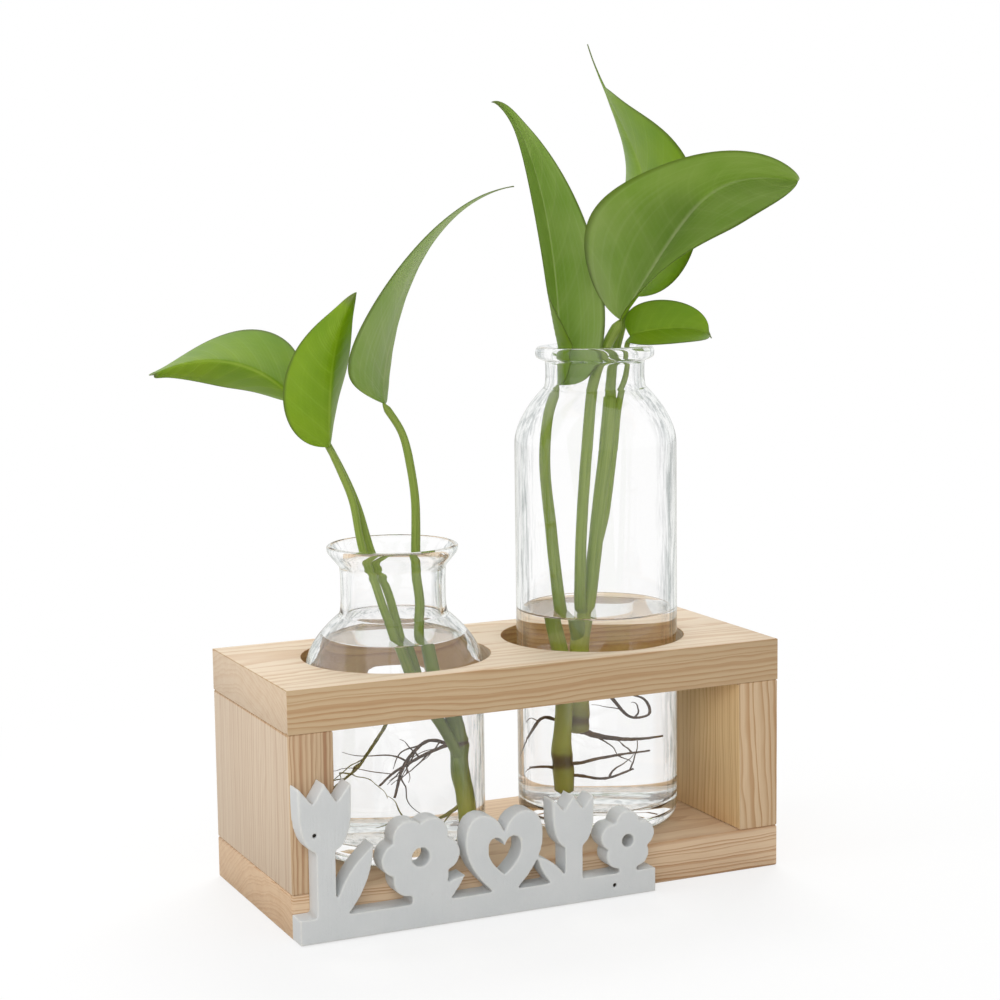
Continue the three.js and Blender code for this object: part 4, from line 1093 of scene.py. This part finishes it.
LEAVES = (
    ("short_petiole_left", dict(
        midrib=[(-54.7, 18.4, 80.7), (-79.7, 32.7, 64.7), (-81.5, 28.3, 65)],
        across=(-0.11, 0.49, -0.87), twist=-47, left=(25.9, 80), right=(13.4, 23), curl=0.32,
        outline=(0.45, 1.32, 0.08))),
    ("short_petiole_middle", dict(
        midrib=[(-22, 4, 65), (-19.6, 6.1, 79.5), (-9.6, 6.8, 93.8)],
        across=(0.94, 0.31, -0.17), twist=41, left=(16.8, 0), right=(15.6, -38), curl=-0.32,
        outline=(0.44, 1.18, 0.06), upper=-1)),
    ("short_petiole_right", dict(
        midrib=[(-1.4, 10.8, 62.1), (10.3, 3.7, 126.9), (47, -10.8, 131.9)],
        across=(0.2, 0.98, 0.01), twist=-32, left=(27.4, -29), right=(14.9, 44), curl=-0.31,
        outline=(0.66, 1.41, 0.06))),
    ("tall_stem_left", dict(
        midrib=[(-10.1, 7.1, 43), (-20.8, 14.7, 91.1), (-33, 20.8, 93.3)],
        across=(0.97, 0.2, 0.12), twist=21, left=(25, 48), right=(19.6, 60), curl=0.07,
        outline=(0.37, 1.38, 0.12), rolled=True)),
    ("tall_petiole_back", dict(
        midrib=[(39, 5, 68.7), (20.5, 17.4, 76.5), (15.8, 35.3, 117)],
        across=(0.51, -0.73, -0.45), twist=43, left=(30, -24), right=(43.9, 40), curl=-0.19,
        outline=(0.36, 0.66, 0.17), upper=-1)),
    ("tall_petiole_middle", dict(
        midrib=[(28.2, -29, 53.7), (23.8, -41.9, 68.1), (61.2, -48.3, 61.6)],
        across=(-0.1, -0.86, -0.5), twist=-63, left=(34, 80), right=(24, 26), curl=0.32,
        outline=(0.58, 0.72, 0))),
    ("tall_petiole_side", dict(
        midrib=[(15, -4.6, 5.6), (40.4, -12.2, 8.9), (46.1, -10, 1.5)],
        across=(-0.21, -0.45, -0.87), twist=-3, left=(11, 14), right=(14.4, 38), curl=0.11,
        outline=(0.47, 0.63, 0.08), upper=-1)),
)
for number, (stalk, leaf) in enumerate(LEAVES, 1):
    bottle = bottle_of(stalk)
    name = f"leaf_{number}"
    mesh = blade(name + "_blade", leaf, bottle, stem_ends[stalk])
    finished(new_piece(name + "_blade", mesh), [upper_skin, under_skin][::leaf.get("upper", 1)],
             bottle.name, "leaf_green", name)


# Roots. Brown main roots leave the nodes and taper, with many fine rootlets off them,
# from dark brown to olive, that wander through the water.

ROOT_DIAMETER = 1.6
THICK_ROOT_SHARE = 1.7
ROOTS = {
    "short_root_upper": [
        (0.53, -0.25, 0.455), (0.17, -0.17, 0.38), (-0.05, -0.12, 0.32), (-0.2, -0.06, 0.25)],
    "short_root_arc": [
        (0.54, -0.25, 0.399), (0.3, -0.04, 0.45), (0.12, 0.08, 0.34), (0.02, 0.12, 0.17)],
    "short_root_lower": [
        (0.59, -0.27, 0.15), (0.34, -0.22, 0.07), (0.12, -0.17, 0.06), (-0.12, -0.13, 0.05)],
    "short_root_hanging": [
        (0.14, -0.13, 0.801), (0.04, -0.01, 0.7), (-0.1, 0.06, 0.52), (-0.3, 0.14, 0.34),
        (-0.52, 0.24, 0.22)],
    "tall_root_thick": [
        (-0.13, 0.18, 0.37), (0.1, 0.03, 0.33), (0.35, -0.14, 0.32), (0.61, -0.28, 0.33)],
    "tall_root_loop": [
        (-0.1, 0.16, 0.78), (0.14, 0.08, 0.58), (0.36, -0.06, 0.43), (0.5, -0.14, 0.44),
        (0.48, -0.06, 0.52), (0.36, 0.04, 0.55)],
    "tall_root_left": [
        (-0.37, 0.06, 0.17), (-0.54, 0.12, 0.18), (-0.73, 0.22, 0.17)],
    "tall_root_right": [
        (-0.37, 0.06, 0.14), (-0.2, -0.06, 0.14), (-0.02, -0.14, 0.13), (0.28, -0.27, 0.17)],
    "tall_root_rising": [
        (-0.37, 0.06, 0.2), (-0.26, -0.06, 0.21), (0.08, -0.14, 0.24), (0.47, -0.24, 0.26)],
    "tall_root_arc": [
        (-0.37, 0.06, 0.42), (-0.48, 0.26, 0.43), (-0.58, 0.41, 0.31)],
}
YOUNG_ROOTS = ("short_root_hanging", "short_root_lower")
HAIR_COUNT = {short: 7, tall: 2}
HAIR_LONGEST = {short: 24, tall: 14}


def kept_inside(place, bottle):
    """Holds a point a little off the glass, the floor and the water's surface."""
    x, y = place.x / MM - bottle.x, place.y / MM
    distance = hypot(x, y)
    limit = bottle.bore - 1.5
    if distance > limit:
        x, y = x * limit / distance, y * limit / distance
    floor = BOARD + bottle.floor + 2
    z = min(max(place.z / MM, floor), BOARD + min(bottle.water - 6, bottle.shoulder_start - 2))
    return Vector((bottle.x + x, y, z)) * MM


def wandering(start, heading, length, bottle, dice):
    """A rootlet's way: it bends a little at each step and sinks slowly."""
    points = [start]
    steps = 7
    for _ in range(steps):
        heading = (heading + Vector([dice.uniform(-0.3, 0.3) for _ in range(3)])
                   + Vector((0, 0, -0.1))).normalized()
        points.append(kept_inside(points[-1] + heading * length / steps, bottle))
    return points


def root_tube(points, first, last, sides, dice):
    length = sum((q - p).length for p, q in zip(points, points[1:]))
    steps = max(8, int(length / (0.9 * MM)))
    path = through(points, steps)
    seed = Vector([dice.uniform(0, 50) for _ in range(3)])
    path = [p + noise.noise_vector(seed + p / MM * 0.12) * 0.5 * MM * min(1, 4 * i / steps)
            for i, p in enumerate(path)]

    def radius(share, turn):
        rough = 1 + 0.3 * noise.noise(seed + Vector((turn, share * length / MM * 0.9, 0)))
        return (first + (last - first) * share ** 0.8) / 2 * rough * MM
    return tube("root", path, radius, sides)


def root_bark(name, dark, pale):
    material, tree = new_material(name)
    place = own_place(tree)
    patches = noise_at(tree, place, (70, 70, 70), 2)
    grit = noise_at(tree, place, (2400, 2400, 2400), 3)
    bark = mix(tree, ramp(tree, patches, [(0.42, 0), (0.62, 1)]), dark, pale)
    bark = mix(tree, times(tree, grit, 0.5), bark, srgb(132, 100, 70))
    bump = node(tree, "Bump", Strength=0.5, Distance=0.0003, Height=grit)
    to_output(tree, node(tree, "BsdfPrincipled", Base_Color=bark, Roughness=0.7, Normal=bump))
    return material


# Seeded, because the noise that bends the roots takes its start from the clock otherwise
noise.seed_set(5)

old_bark = root_bark("old_root", srgb(60, 34, 18), srgb(106, 78, 38))
young_bark = root_bark("young_root", srgb(146, 148, 58), srgb(178, 174, 96))

for number, (name, path) in enumerate(ROOTS.items()):
    bottle = bottle_of(name)
    thick = THICK_ROOT_SHARE if name == "tall_root_thick" else 1
    dice = random.Random(40 + number)
    points = [zones[bottle]["water"](*p) for p in path]
    strands = [root_tube(points, ROOT_DIAMETER * thick, ROOT_DIAMETER * 0.45, 10, dice)]
    way = through(points, 20)
    for _ in range(HAIR_COUNT[bottle]):
        i = dice.randint(3, 19)
        ahead = (way[i + 1] - way[i]).normalized()
        heading = (ahead * dice.uniform(0.1, 1) + Vector(
            [dice.uniform(-1, 1) for _ in range(3)])).normalized()
        length = dice.uniform(7, HAIR_LONGEST[bottle]) * MM
        hair = wandering(way[i], heading, length, bottle, dice)
        strands.append(root_tube(hair, dice.uniform(0.45, 0.85), 0.2, 6, dice))
    finished(joined(name + "_strands", strands), young_bark if name in YOUNG_ROOTS else old_bark,
             bottle.name, "root", name)
